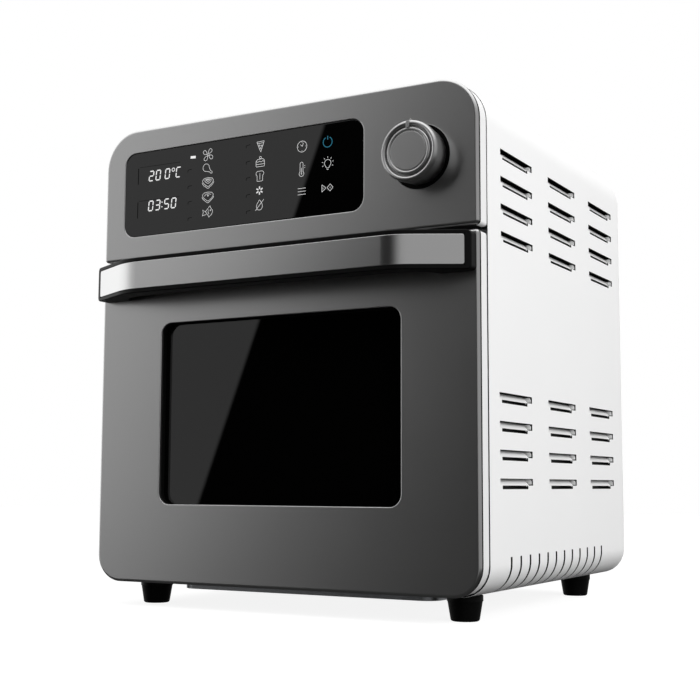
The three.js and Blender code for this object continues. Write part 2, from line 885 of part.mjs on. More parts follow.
function controlKnob() {
  const proud = (distance) => at(-distance);
  const bore = encoderShaft + seat;
  const body = turnedY([
    [0, proud(knobProud)],
    [knobLineRadius - knobLineWidth, proud(knobProud)],
    [knobLineRadius - knobLineWidth, proud(knobProud - knobLineDepth)],
    [knobLineRadius, proud(knobProud - knobLineDepth)],
    [knobLineRadius, proud(knobProud)],
    [knobDiscRadius - knobLineWidth, proud(knobProud)],
    [knobDiscRadius, proud(knobProud - knobLineWidth)],
    [knobDiscRadius, proud(knobGrooveProud)],
    [knobGrooveRadius, proud(knobGrooveProud)],
    [knobGrooveRadius, proud(knobBevelProud - knobLineWidth)],
    [knobBevelRadius, proud(knobBevelProud)],
    [knobShoulderRadius, proud(knobShoulderProud)],
    [knobRim, proud(knobRimProud)],
    [knobSkirt, proud(-knobSkirtSink)],
    [knobSkirt - knobWall, proud(-knobSkirtSink)],
    [knobSkirt - knobWall, proud(knobRimProud - knobWall)],
    [knobHub, proud(knobRimProud - knobWall)],
    [knobHub, proud(0)],
    [bore, proud(0)],
    [bore, proud(encoderShaftProud + seat)],
    [0, proud(encoderShaftProud + seat)],
  ], knobX, 0, knobZ, knobSides);
  const bridge = block(knobX - knobPointerWidth / 2, knobX + knobPointerWidth / 2,
    proud(knobBevelProud), proud(knobRimProud),
    knobZ + knobDiscRadius - knobLineWidth, knobZ + knobShoulderRadius);
  const ridge = outlineOf([
    [knobX - knobPointerWidth, knobZ + knobSkirt - knobLineWidth],
    [knobX + knobPointerWidth, knobZ + knobSkirt - knobLineWidth],
    [knobX, knobZ + knobRim + knobPointerProud],
  ]);
  return body.add(bridge).add(slabY(ridge, proud(knobRimProud - knobLineWidth), proud(knobPointerWidth)));
}

// Door

function doorOutline(inset) {
  return roundedOutline(-halfWidth + inset, halfWidth - inset, doorBottom + inset, doorTop - inset,
    Math.max(seamCorner - inset, weld), bottomCorner - inset);
}

function windowOutline(grow, radius) {
  return roundedOutline(-windowHalf - grow, windowHalf + grow,
    windowBottom - grow, windowTop + grow, radius, radius);
}

function doorSkin() {
  const skin = roundedSlabY(doorOutline(0), at(0), at(skinThickness), skinRounding);
  const holes = [slabY(windowOutline(0, windowCorner), at(-overrun), at(skinThickness + overrun))];
  for (const side of [-1, 1]) {
    holes.push(rodY(handleScrewRadius + seat, side * handleScrewX, at(-overrun), at(skinThickness + overrun),
      handleBottom + handleHeight / 2, tinySides));
  }
  return cut(skin, holes);
}

// The frame is a tray open towards the skin. Its web carries the glass and has the hinge lugs.
const webFront = windowRecess + paneThickness + seat;
const doorFrameBack = casingFront - doorGroove;
const lugWidth = 6;
const lugTop = 31;
const hingeNotchHalf = 4.5;
const hingeSweep = 4.9;
const hingeNotchTop = 30;

function doorFrame() {
  const front = skinThickness + seat;
  let frame = slabY(doorOutline(frameInset), at(front), at(doorFrameBack), outerSteps)
    .subtract(slabY(doorOutline(frameInset + frameWall), at(front - overrun), at(webFront)))
    .subtract(slabY(doorOutline(frameInset + frameWall), at(webFront + frameWeb),
      at(doorFrameBack + overrun)))
    .subtract(slabY(windowOutline(dishWindowMargin, windowCorner), at(0), at(doorFrameBack + overrun)));
  const lugBottom = doorBottom + frameInset + weld;
  for (const side of [-1, 1]) {
    for (const way of [-1, 1]) {
      const middle = hingeX + way * (hingeNotchHalf + lugWidth / 2);
      frame = frame.add(block(side * (middle - lugWidth / 2), side * (middle + lugWidth / 2),
        at(front), at(doorFrameBack), lugBottom, lugTop));
    }
    frame = frame.subtract(block(side * (hingeX - hingeNotchHalf), side * (hingeX + hingeNotchHalf),
      at(hingeDepth - hingeSweep), at(doorFrameBack + overrun), doorBottom - overrun, hingeNotchTop));
    frame = frame.subtract(rodX(hingePinRadius + seat, side * (hingeX - hingeNotchHalf - lugWidth - overrun),
      side * (hingeX + hingeNotchHalf + lugWidth + overrun), at(hingeDepth), hingeHeight));
  }
  const reach = doorFrameBack - hingeDepth + seat;
  const past = halfWidth + overrun;
  const rounding = block(-past, past, at(hingeDepth), at(doorFrameBack + overrun),
    doorBottom - overrun, hingeHeight)
    .subtract(rodX(reach, -past - overrun, past + overrun, at(hingeDepth), hingeHeight, mediumSides));
  return frame.subtract(rounding);
}

function windowGasket() {
  const front = skinThickness + seat;
  return slabY(windowOutline(paneMargin, gasketCorner), at(front), at(windowRecess - seat))
    .subtract(slabY(windowOutline(0, windowCorner), at(front - overrun), at(windowRecess + overrun)));
}

function windowGlass() {
  return slabY(windowOutline(paneMargin, paneCorner), at(windowRecess), at(windowRecess + paneThickness));
}

function innerGlass() {
  const back = dishBack - innerPanelSheet - seat;
  return slabY(windowOutline(paneMargin, paneCorner), at(back - paneThickness), at(back));
}

function doorInnerPanel() {
  const plate = roundedOutline(-innerPanelHalf, innerPanelHalf, innerPanelBottom, innerPanelTop,
    dishCorner, dishCorner);
  const dish = (inset) => roundedOutline(-dishHalf + inset, dishHalf - inset,
    dishBottom + inset, dishTop - inset, dishCorner - inset, dishCorner - inset);
  return slabY(plate, at(innerPanelFront), at(innerPanelFront + innerPanelSheet))
    .add(slabY(dish(0), at(innerPanelFront), at(dishBack)))
    .subtract(slabY(dish(innerPanelSheet), at(innerPanelFront - overrun), at(dishBack - innerPanelSheet)))
    .subtract(slabY(windowOutline(dishWindowMargin, windowCorner), at(innerPanelFront),
      at(dishBack + overrun)));
}

// Seal on the face frame, where the inner door panel closes against it
const sealFront = innerPanelFront + innerPanelSheet + seat;

function doorSeal() {
  const outline = (grow, radius) => roundedOutline(-cavityHalf - grow, cavityHalf + grow,
    cavityFloor - grow, cavityCeiling + grow, radius, radius);
  const lip = outline(sealMargin + sealWidth, sealCorner + sealWidth);
  return slabY(lip, at(sealFront), at(faceFrameDepth - seat))
    .subtract(slabY(outline(sealMargin, sealCorner), at(sealFront - overrun), at(faceFrameDepth + overrun)));
}

// Hinge: the body's bracket reaches into a notch of the door frame and holds the pin there
const bracketArmHalf = 3.8;
const bracketEyeRadius = 4.6;
const bracketArmRise = 3;
const hingeFlangeHalf = 13;
const hingeFlangeSheet = 1.6;
const hingeFlangeTop = 33;

function hingeBracket(side) {
  const x0 = side * (hingeX - bracketArmHalf);
  const x1 = side * (hingeX + bracketArmHalf);
  const flangeBack = at(faceFrameDepth - seat);
  return rodX(bracketEyeRadius, x0, x1, at(hingeDepth), hingeHeight, smallSides)
    .add(block(x0, x1, at(hingeDepth), flangeBack,
      hingeHeight - bracketArmRise, hingeHeight + bracketArmRise))
    .add(block(side * (hingeX - hingeFlangeHalf), side * (hingeX + hingeFlangeHalf),
      flangeBack - hingeFlangeSheet, flangeBack, hingeHeight - bracketArmRise, hingeFlangeTop))
    .subtract(rodX(hingePinRadius + hingeRunning, side * (hingeX - hingeFlangeHalf - overrun),
      side * (hingeX + hingeFlangeHalf + overrun), at(hingeDepth), hingeHeight));
}

function hingePin(side) {
  const reach = hingeNotchHalf + lugWidth;
  return rodX(hingePinRadius, side * (hingeX - reach), side * (hingeX + reach), at(hingeDepth), hingeHeight);
}

// Handle

// The bar's front line seen from above, moved in by an inset: [x, proud] from left to right
function handleFront(inset, endX) {
  const radius = bendRadius - inset;
  const centreProud = gripProud - bendRadius;
  const bendSteps = 6;
  const right = [];
  for (let i = 0; i <= bendSteps; i += 1) {
    const angle = bendAngle * i / bendSteps;
    right.push([gripHalf + radius * Math.sin(angle), centreProud + radius * Math.cos(angle)]);
  }
  const [bendX, bendProud] = right[bendSteps];
  right.push([endX, bendProud - (endX - bendX) * Math.tan(bendAngle)]);
  const left = right.map(([x, proud]) => [-x, proud]).reverse();
  return left.concat(right);
}

// An outline from above between two lines of [x, proud]
function planBetween(frontLine, backLine) {
  return outlineOf(frontLine.concat([...backLine].reverse()).map(([x, proud]) => [x, at(-proud)]));
}

function handleBody() {
  const front = handleFront(0, handleHalf - handleEndRounding);
  const endProud = front[front.length - 1][1];
  const gripBack = fingerDepth;
  const archSteps = 5;
  const arch = [];
  for (let i = 0; i <= archSteps; i += 1) {
    const angle = Math.PI / 2 * i / archSteps;
    arch.push([fingerHalfAtGrip + (fingerHalfAtDoor - fingerHalfAtGrip) * Math.cos(angle),
      seat + (gripBack - seat) * Math.sin(angle)]);
  }
  const outside = [
    [-handleHalf, seat],
    [-handleHalf, endProud - handleEndRounding],
    ...front,
    [handleHalf, endProud - handleEndRounding],
    [handleHalf, seat],
  ];
  const inside = [...arch, ...arch.map(([x, proud]) => [-x, proud]).reverse()];
  const plan = outlineOf([...outside, ...inside].map(([x, proud]) => [x, at(-proud)]));
  const top = handleBottom + handleHeight;
  const pocketDepth = inlayThickness + seat;
  const pocketEnd = inlayHalf + seat;
  const pocket = planBetween(handleFront(-overrun, pocketEnd), handleFront(pocketDepth, pocketEnd));
  const middle = handleBottom + handleHeight / 2;
  let body = slabZ(plan, handleBottom, top)
    .subtract(slabZ(pocket, handleBottom + inlayMargin - seat, top - inlayMargin + seat));
  for (const side of [-1, 1]) {
    body = body.subtract(rodY(handleScrewRadius + seat, side * handleScrewX,
      at(-handleScrewReach - seat), at(overrun), middle, tinySides));
  }
  return body;
}

function handleInlay() {
  const plan = planBetween(handleFront(0, inlayHalf), handleFront(inlayThickness, inlayHalf));
  return slabZ(plan, handleBottom + inlayMargin, handleBottom + handleHeight - inlayMargin);
}

const handleScrewHead = 3.8;
const handleScrewHeadHeight = 2.6;

function handleScrew(side) {
  const head = skinThickness + seat;
  return turnedY([
    [0, at(-handleScrewReach)],
    [handleScrewRadius, at(-handleScrewReach)],
    [handleScrewRadius, at(head)],
    [handleScrewHead, at(head)],
    [handleScrewHead, at(head + handleScrewHeadHeight)],
    [0, at(head + handleScrewHeadHeight)],
  ], side * handleScrewX, 0, handleBottom + handleHeight / 2, tinySides);
}

// Cavity and what is in it

const linerFront = faceFrameDepth + faceFrameSheet + seat;

function cavityLiner() {
  const sheet = cavitySheet;
  const outside = cavityHalf + sheet;
  const liner = block(-outside, outside, at(linerFront), at(cavityBack + sheet),
    cavityFloor - sheet, cavityCeiling + sheet)
    .subtract(block(-cavityHalf, cavityHalf, at(linerFront - overrun), at(cavityBack),
      cavityFloor, cavityCeiling));
  const wallHole = (radius, side, depth, height, sides) => rodX(radius, side * (cavityHalf - overrun),
    side * (outside + overrun), at(depth), height, sides);
  const holes = [
    rodZ(shaftHole, 0, at(fanDepth), cavityCeiling - overrun, cavityCeiling + sheet + overrun),
    wallHole(lampHole, 1, lampDepth, lampHeight, mediumSides),
    wallHole(probeRadius + seat, -1, probeDepth, probeHeight, tinySides),
    wallHole(heaterHole, -1, lowerHeaterFront, lowerHeaterHeight, tinySides),
    wallHole(heaterHole, -1, lowerHeaterBack, lowerHeaterHeight, tinySides),
  ];
  for (const x of [-upperHeaterLegX, upperHeaterLegX]) {
    holes.push(rodY(heaterHole, x, at(cavityBack - overrun), at(cavityBack + sheet + overrun),
      upperHeaterHeight, tinySides));
  }
  return cut(liner, holes);
}

function rackGuide(side) {
  const wall = cavityHalf - seat;
  const face = wall - guideSheet;
  const solids = [block(side * face, side * wall, at(guideFront), at(guideBack), guideBottom, guideTop)];
  for (let row = 0; row < ledgeCount; row += 1) {
    solids.push(block(side * (face - ledgeWidth), side * (face + weld), at(guideFront), at(guideBack),
      ledgeHeight(row) - guideSheet, ledgeHeight(row)));
  }
  return joined(solids);
}

const rackLevel = ledgeHeight(rackRow) + seat;
const trayLevel = ledgeHeight(trayRow) + seat;

function wireRack() {
  const inner = rackHalf - rackWire;
  const outer = roundedPlan(-rackHalf, rackHalf, at(rackFront), at(rackBack), rackCorner);
  const hollow = roundedPlan(-inner, inner, at(rackFront) + rackWire, at(rackBack) - rackWire,
    rackCorner - rackWire);
  let rack = slabZ(outer, rackLevel, rackLevel + rackWire)
    .subtract(slabZ(hollow, rackLevel - overrun, rackLevel + rackWire + overrun));
  const pitch = 2 * inner / (rackRods + 1);
  const height = rackLevel + rackWire / 2;
  for (let i = 1; i <= rackRods; i += 1) {
    rack = rack.add(rodY(rackRodRadius, -inner + i * pitch, at(rackFront) + rackWire / 2,
      at(rackBack) - rackWire / 2, height, rackRodSides));
  }
  return rack;
}

function bakingTray() {
  const rim = roundedPlan(-rackHalf, rackHalf, at(rackFront), at(rackBack), rackCorner);
  const wall = (inset) => roundedPlan(-rackHalf + trayRim + inset, rackHalf - trayRim - inset,
    at(rackFront) + trayRim + inset, at(rackBack) - trayRim - inset, trayCorner - inset);
  const rimTop = trayLevel + traySheet;
  const floor = rimTop - trayDepth;
  return slabZ(rim, trayLevel, rimTop)
    .add(slabZ(wall(0), floor, rimTop))
    .subtract(slabZ(wall(traySheet), floor + traySheet, rimTop + overrun));
}

function crumbTray() {
  const bottom = cavityFloor + seat;
  const plan = (inset) => roundedPlan(-crumbHalf + inset, crumbHalf - inset,
    at(crumbFront) + inset, at(crumbBack) - inset, rackCorner - inset);
  return slabZ(plan(0), bottom, bottom + crumbRim)
    .subtract(slabZ(plan(traySheet), bottom + traySheet, bottom + crumbRim + overrun));
}

function upperHeater() {
  const start = Math.asin(upperHeaterLegX / upperHeaterLoop) * loopOpeningShare;
  const leg = (side, depth) => [side * upperHeaterLegX, at(depth), upperHeaterHeight];
  const legDepths = [cavityBack + heaterTail, cavityBack - heaterTail,
    fanDepth + upperHeaterLoop + heaterTail];
  const points = legDepths.map((depth) => leg(-1, depth));
  const loopSteps = 12;
  for (let i = 0; i <= loopSteps; i += 1) {
    const angle = Math.PI / 2 + start + (2 * Math.PI - 2 * start) * i / loopSteps;
    points.push([upperHeaterLoop * Math.cos(angle), at(fanDepth + upperHeaterLoop * Math.sin(angle)),
      upperHeaterHeight]);
  }
  points.push(...legDepths.reverse().map((depth) => leg(1, depth)));
  return bentBar(points, heaterRadius, upperHeaterSteps, heaterSides);
}

function lowerHeater() {
  const bend = (lowerHeaterBack - lowerHeaterFront) / 2;
  const middle = (lowerHeaterBack + lowerHeaterFront) / 2;
  const end = -cavityHalf - cavitySheet - heaterTail;
  const points = [];
  points.push([end, at(lowerHeaterFront), lowerHeaterHeight]);
  points.push([0, at(lowerHeaterFront), lowerHeaterHeight]);
  const bendSteps = 6;
  for (let i = 0; i <= bendSteps; i += 1) {
    const angle = -Math.PI / 2 + Math.PI * i / bendSteps;
    points.push([lowerHeaterRight - bend + bend * Math.cos(angle), at(middle + bend * Math.sin(angle)),
      lowerHeaterHeight]);
  }
  points.push([0, at(lowerHeaterBack), lowerHeaterHeight]);
  points.push([end, at(lowerHeaterBack), lowerHeaterHeight]);
  return bentBar(points, heaterRadius, lowerHeaterSteps, heaterSides);
}

function fanGuard() {
  const top = cavityCeiling - seat;
  const bottom = top - guardDrop;
  const wall = guardRadius - guardFlange;
  let guard = turnedZ([
    [0, bottom],
    [wall, bottom],
    [wall, top - guardSheet],
    [guardRadius, top - guardSheet],
    [guardRadius, top],
    [wall - guardSheet, top],
    [wall - guardSheet, bottom + guardSheet],
    [0, bottom + guardSheet],
  ], 0, at(fanDepth), 0, largeSides);
  for (let i = 0; i < guardSlots; i += 1) {
    const slot = new THREE.BoxGeometry(guardSlotOuter - guardSlotInner, guardSlotWidth, overrun * 2);
    slot.translate((guardSlotOuter + guardSlotInner) / 2, 0, 0);
    slot.rotateZ(2 * Math.PI * i / guardSlots);
    slot.translate(0, at(fanDepth), bottom);
    guard = guard.subtract(solidOf(slot));
  }
  return guard;
}

// Fan drive

const ceilingTop = cavityCeiling + cavitySheet;
const shieldTop = ceilingTop + seat + shieldHeight;
const bracketFoot = shieldTop + seat;
const bracketTop = bracketFoot + bracketRise;
const statorBottom = bracketTop + seat;
const shaftTop = statorBottom + statorHeight + shaftAboveMotor;

function heatShield() {
  return block(-shieldHalf, shieldHalf, at(shieldFront), at(shieldBack), ceilingTop + seat, shieldTop)
    .subtract(block(-shieldHalf + shieldSheet, shieldHalf - shieldSheet, at(shieldFront) + shieldSheet,
      at(shieldBack) - shieldSheet, ceilingTop - overrun, shieldTop - shieldSheet))
    .subtract(rodZ(shaftHole, 0, at(fanDepth), shieldTop - overrun, shieldTop + overrun));
}

function motorBracket() {
  const y0 = at(fanDepth - bracketDepthHalf);
  const y1 = at(fanDepth + bracketDepthHalf);
  return block(-bracketHalf, bracketHalf, y0, y1, bracketFoot, bracketTop)
    .subtract(block(-bracketHalf + bracketSheet, bracketHalf - bracketSheet, y0 - overrun, y1 + overrun,
      bracketFoot - overrun, bracketTop - bracketSheet))
    .subtract(rodZ(shaftRadius + seat, 0, at(fanDepth), bracketFoot, bracketTop + overrun));
}

function motorStator() {
  return block(-statorHalf, statorHalf, at(fanDepth - statorHalf), at(fanDepth + statorHalf),
    statorBottom, statorBottom + statorHeight)
    .subtract(rodZ(statorBore, 0, at(fanDepth), statorBottom - overrun,
      statorBottom + statorHeight + overrun, mediumSides));
}

function motorShaft() {
  const rotorBottom = statorBottom + (statorHeight - rotorHeight) / 2;
  return turnedZ([
    [0, shaftBottom],
    [shaftRadius, shaftBottom],
    [shaftRadius, rotorBottom],
    [rotorRadius, rotorBottom],
    [rotorRadius, rotorBottom + rotorHeight],
    [shaftRadius, rotorBottom + rotorHeight],
    [shaftRadius, shaftTop],
    [0, shaftTop],
  ], 0, at(fanDepth), 0, smallSides);
}

// A flat blade that stands out from the hub, turned by its own pitch about its length
function blade(inner, outer, thickness, height, pitch, angle, z) {
  const geometry = new THREE.BoxGeometry(outer - inner, thickness, height);
  geometry.rotateX(pitch);
  geometry.translate((outer + inner) / 2, 0, 0);
  geometry.rotateZ(angle);
  geometry.translate(0, at(fanDepth), z);
  return solidOf(geometry);
}

function convectionFan() {
  const bottom = shaftBottom + convectionLift;
  const discTop = bottom + convectionBladeHeight;
  const bladeHeight = convectionBladeHeight - convectionDisc / 2;
  let fan = rodZ(fanHubRadius, 0, at(fanDepth), bottom, discTop)
    .add(rodZ(convectionRadius, 0, at(fanDepth), discTop - convectionDisc, discTop, largeSides));
  for (let i = 0; i < convectionBlades; i += 1) {
    fan = fan.add(blade(fanHubRadius - fanBladeThickness, convectionRadius - fanBladeThickness,
      fanBladeThickness, bladeHeight, 0, 2 * Math.PI * i / convectionBlades, bottom + bladeHeight / 2));
  }
  return fan.subtract(rodZ(shaftRadius + seat, 0, at(fanDepth), bottom - overrun, discTop + overrun));
}

function coolingFan() {
  const bottom = shaftTop - coolingDrop - coolingHeight;
  const middle = bottom + coolingHeight / 2;
  let fan = rodZ(coolingHubRadius, 0, at(fanDepth), bottom, bottom + coolingHeight);
  for (let i = 0; i < coolingBlades; i += 1) {
    fan = fan.add(blade(fanHubRadius, coolingRadius, fanBladeThickness, coolingHeight,
      Math.PI / 2 - coolingPitch, 2 * Math.PI * i / coolingBlades, middle));
  }
  return fan.subtract(rodZ(shaftRadius + seat, 0, at(fanDepth), bottom - overrun, shaftTop + overrun));
}

// Lamp, probe, cut-out and main board

function lampCover() {
  const wall = cavityHalf;
  const inner = lampHole - seat - lampGlass;
  const outer = lampHole - seat;
  const shoulder = wall - seat - lampDome * domeHeightShare;
  return turnedX([
    [0, wall - seat - lampDome],
    [outer * domeShoulderShare, shoulder],
    [outer, wall - seat - lampGlass],
    [lampFlange, wall - seat - lampGlass],
    [lampFlange, wall - seat],
    [outer, wall - seat],
    [outer, wall + cavitySheet],
    [inner, wall + cavitySheet],
    [inner, wall - seat - lampGlass],
    [inner * domeShoulderShare, shoulder + lampGlass],
    [0, wall - seat - lampDome + lampGlass],
  ], 0, at(lampDepth), lampHeight, mediumSides);
}

function ovenLamp() {
  const wall = cavityHalf + cavitySheet + seat;
  return turnedX([
    [0, wall - bulbRadius],
    [bulbRadius * bulbShoulderShare, wall - bulbRadius * bulbShoulderShare],
    [bulbRadius, wall],
    [bulbRadius, wall + seat],
    [lampFlange, wall + seat],
    [lampFlange, wall + flangeSheet + seat],
    [lampSocketRadius, wall + flangeSheet + seat],
    [lampSocketRadius, halfWidth - casingSheet - lampSocketGap],
    [0, halfWidth - casingSheet - lampSocketGap],
  ], 0, at(lampDepth), lampHeight, smallSides);
}

function temperatureProbe() {
  const wall = cavityHalf + cavitySheet + seat;
  return turnedX([
    [0, cavityHalf - probeReach],
    [probeRadius * probeTipShare, cavityHalf - probeReach],
    [probeRadius, cavityHalf - probeReach + probeRadius],
    [probeRadius, wall],
    [probeRadius * probeCollarShare, wall],
    [probeRadius * probeCollarShare, wall + probeRadius],
    [probeRadius, wall + probeRadius],
    [probeRadius, wall + probeTail],
    [0, wall + probeTail],
  ], 0, at(probeDepth), probeHeight, tinySides, -1);
}

function thermalCutout() {
  const foot = shieldTop + seat;
  const ear = cutoutRadius * cutoutEarShare;
  return rodZ(cutoutRadius, cutoutX, at(cutoutDepth), foot, foot + cutoutHeight)
    .add(block(cutoutX - ear, cutoutX + ear, at(cutoutDepth - cutoutRadius / 2),
      at(cutoutDepth + cutoutRadius / 2), foot, foot + flangeSheet));
}

function mainBoard() {
  const foot = shieldTop + seat;
  const bottom = foot + mainBoardRise;
  const top = bottom + boardSheet;
  const width = mainBoardRight - mainBoardLeft;
  const length = mainBoardBack - mainBoardFront;
  const solids = [block(mainBoardLeft, mainBoardRight, at(mainBoardFront), at(mainBoardBack), bottom, top)];
  for (const x of [mainBoardLeft + postRadius * 2, mainBoardRight - postRadius]) {
    for (const depth of [mainBoardFront + postRadius, mainBoardBack - postRadius]) {
      solids.push(rodZ(postRadius, x, at(depth), foot, bottom + weld, tinySides));
    }
  }
  // Relays, transformer and capacitor: [left, right, front, back] as shares of the board
  const partShares = [
    [0.1, 0.45, 0.08, 0.2],
    [0.55, 0.9, 0.08, 0.2],
    [0.15, 0.85, 0.3, 0.55],
    [0.2, 0.5, 0.68, 0.8],
  ];
  for (const [leftShare, rightShare, frontShare, backShare] of partShares) {
    solids.push(block(mainBoardLeft + width * leftShare, mainBoardLeft + width * rightShare,
      at(mainBoardFront + length * frontShare), at(mainBoardFront + length * backShare),
      top - weld, top + boardPartHeight));
  }
  return joined(solids);
}

// Body
addPiece('casing_shell', casingShell(), 'whiteSheet');
addPiece('base_plate', basePlate(), 'galvanised');
addPiece('back_panel', backPanel(), 'whiteSheet');
addPiece('face_frame', faceFrame(), 'galvanised');
addPiece('control_panel_frame', controlPanelFrame(), 'whitePlastic');
addPiece('control_panel_skin', controlPanelSkin(), 'skinSteel');
addPiece('display_glass', displayGlass(), 'darkGlass');
addPiece('display_board', displayBoard(), 'circuitBoard');
addPiece('knob_encoder', knobEncoder(), 'blackPlastic');
addPiece('door_seal', doorSeal(), 'silicone');
addPiece('cord_gland', cordGland(), 'blackPlastic');
const cornerNames = ['front_left', 'front_right', 'rear_left', 'rear_right'];
footPlaces().forEach(([x, y], i) => {
  addPiece(`foot_${cornerNames[i]}`, foot(x, y), 'rubber');
  addPiece(`foot_screw_${cornerNames[i]}`, footScrew(x, y), 'brightSteel');
});
const screwNames = ['low_left', 'low_right', 'high_left', 'high_right'];
backScrewPlaces().forEach(([x, z], i) => {
  addPiece(`back_screw_${screwNames[i]}`, backScrew(x, z), 'brightSteel');
});
for (const [side, word] of [[-1, 'left'], [1, 'right']]) {
  addPiece(`wall_spacer_${word}`, wallSpacer(side), 'blackPlastic');
  addPiece(`hinge_bracket_${word}`, hingeBracket(side), 'galvanised');
  addPiece(`rack_guide_${word}`, rackGuide(side), 'brightSteel');
}

// Cavity and drive
addPiece('cavity_liner', cavityLiner(), 'galvanised');
addPiece('upper_heater', upperHeater(), 'heaterSheath');
addPiece('lower_heater', lowerHeater(), 'heaterSheath');
addPiece('fan_guard', fanGuard(), 'galvanised');
addPiece('wire_rack', wireRack(), 'brightSteel');
addPiece('baking_tray', bakingTray(), 'enamel');
addPiece('crumb_tray', crumbTray(), 'galvanised');
addPiece('lamp_cover', lampCover(), 'clearGlass');
addPiece('oven_lamp', ovenLamp(), 'brightSteel');
addPiece('temperature_probe', temperatureProbe(), 'brightSteel');
addPiece('heat_shield', heatShield(), 'galvanised');
addPiece('thermal_cutout', thermalCutout(), 'blackPlastic');
addPiece('main_board', mainBoard(), 'circuitBoard');
addPiece('motor_bracket', motorBracket(), 'galvanised');
addPiece('motor_stator', motorStator(), 'motorIron');
addPiece('motor_shaft', motorShaft(), 'brightSteel');
addPiece('convection_fan', convectionFan(), 'brightSteel');
addPiece('cooling_fan', coolingFan(), 'brightSteel');

// Knob and door
addPiece('control_knob', controlKnob(), 'skinSteel');
addPiece('door_skin', doorSkin(), 'skinSteel');
addPiece('door_frame', doorFrame(), 'whitePlastic');
addPiece('window_gasket', windowGasket(), 'silicone');
addPiece('window_glass', windowGlass(), 'darkGlass');
addPiece('inner_glass', innerGlass(), 'clearGlass');
addPiece('door_inner_panel', doorInnerPanel(), 'galvanised');
addPiece('handle_body', handleBody(), 'blackPlastic');
addPiece('handle_inlay', handleInlay(), 'handleSteel');
for (const [side, word] of [[-1, 'left'], [1, 'right']]) {
  addPiece(`handle_screw_${word}`, handleScrew(side), 'brightSteel');
  addPiece(`hinge_pin_${word}`, hingePin(side), 'brightSteel');
}

export default oven;
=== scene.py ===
from math import cos, hypot, pi, radians, sin, tan

import bmesh
import bpy
from mathutils import Matrix, Vector
from mathutils.geometry import tessellate_polygon


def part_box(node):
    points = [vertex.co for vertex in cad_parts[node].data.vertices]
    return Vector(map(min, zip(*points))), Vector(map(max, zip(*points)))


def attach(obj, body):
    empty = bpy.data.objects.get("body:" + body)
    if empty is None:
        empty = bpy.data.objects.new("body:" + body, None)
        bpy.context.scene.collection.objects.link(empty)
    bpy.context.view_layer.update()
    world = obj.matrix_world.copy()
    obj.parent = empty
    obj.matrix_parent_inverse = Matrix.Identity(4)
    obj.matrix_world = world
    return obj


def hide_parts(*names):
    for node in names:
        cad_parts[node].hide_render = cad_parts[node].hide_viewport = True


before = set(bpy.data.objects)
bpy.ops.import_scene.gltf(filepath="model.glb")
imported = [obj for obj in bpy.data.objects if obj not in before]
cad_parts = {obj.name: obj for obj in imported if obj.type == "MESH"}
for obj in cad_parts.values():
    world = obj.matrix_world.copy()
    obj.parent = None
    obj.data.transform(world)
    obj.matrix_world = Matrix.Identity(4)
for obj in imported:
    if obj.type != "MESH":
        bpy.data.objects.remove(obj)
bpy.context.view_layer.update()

mm = 0.001
weldDistance = 0.002 * mm
supportWidth = 0.25  # narrow loop beside a rounded edge, which keeps flat faces flat
mitreLimit = 0.5  # keeps the sharp corners of a stroke short
cornerShare = 0.45  # the most that one rounded corner takes of a line
leastRadius = 0.1  # of a corner that an inset makes smaller
mergeAngle, bevelAngle = radians(0.5), radians(40)  # flatter edges go, sharper ones can be bevelled


def spanOf(node):  # lowest and highest corner of a CAD node, in millimetres
    low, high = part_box(node)
    return [c / mm for c in low], [c / mm for c in high]


def middleOf(node):
    return [(low + high) / 2 for low, high in zip(*spanOf(node))]


frontPlane = spanOf('door_skin')[0][1]  # Y of the steel skins' front plane; depths count backwards from it


def depth(value):
    return frontPlane + value


def quarter(steps):  # the angles of a quarter turn
    return [pi / 2 * k / steps for k in range(steps + 1)]


def shade(red, green=None, blue=None):  # a colour written as 0 to 255
    levels = (red, red if green is None else green, red if blue is None else blue)
    return tuple(((v / 255 + 0.055) / 1.055) ** 2.4 if v > 10 else v / 255 / 12.92 for v in levels) + (1.0,)


# Shader nodes. A signal is one output of a node, and an expression with it adds Math nodes.

class Signal:
    def __init__(self, nodes, socket):
        self.nodes = nodes
        self.socket = socket

    def combine(self, operation, first, second):
        return self.nodes.add('ShaderNodeMath', {'operation': operation}, {0: first, 1: second})

    def __add__(self, other):
        return self.combine('ADD', self, other)

    def __radd__(self, other):
        return self.combine('ADD', other, self)

    def __sub__(self, other):
        return self.combine('SUBTRACT', self, other)

    def __rsub__(self, other):
        return self.combine('SUBTRACT', other, self)

    def __mul__(self, other):
        return self.combine('MULTIPLY', self, other)

    def __rmul__(self, other):
        return self.combine('MULTIPLY', other, self)


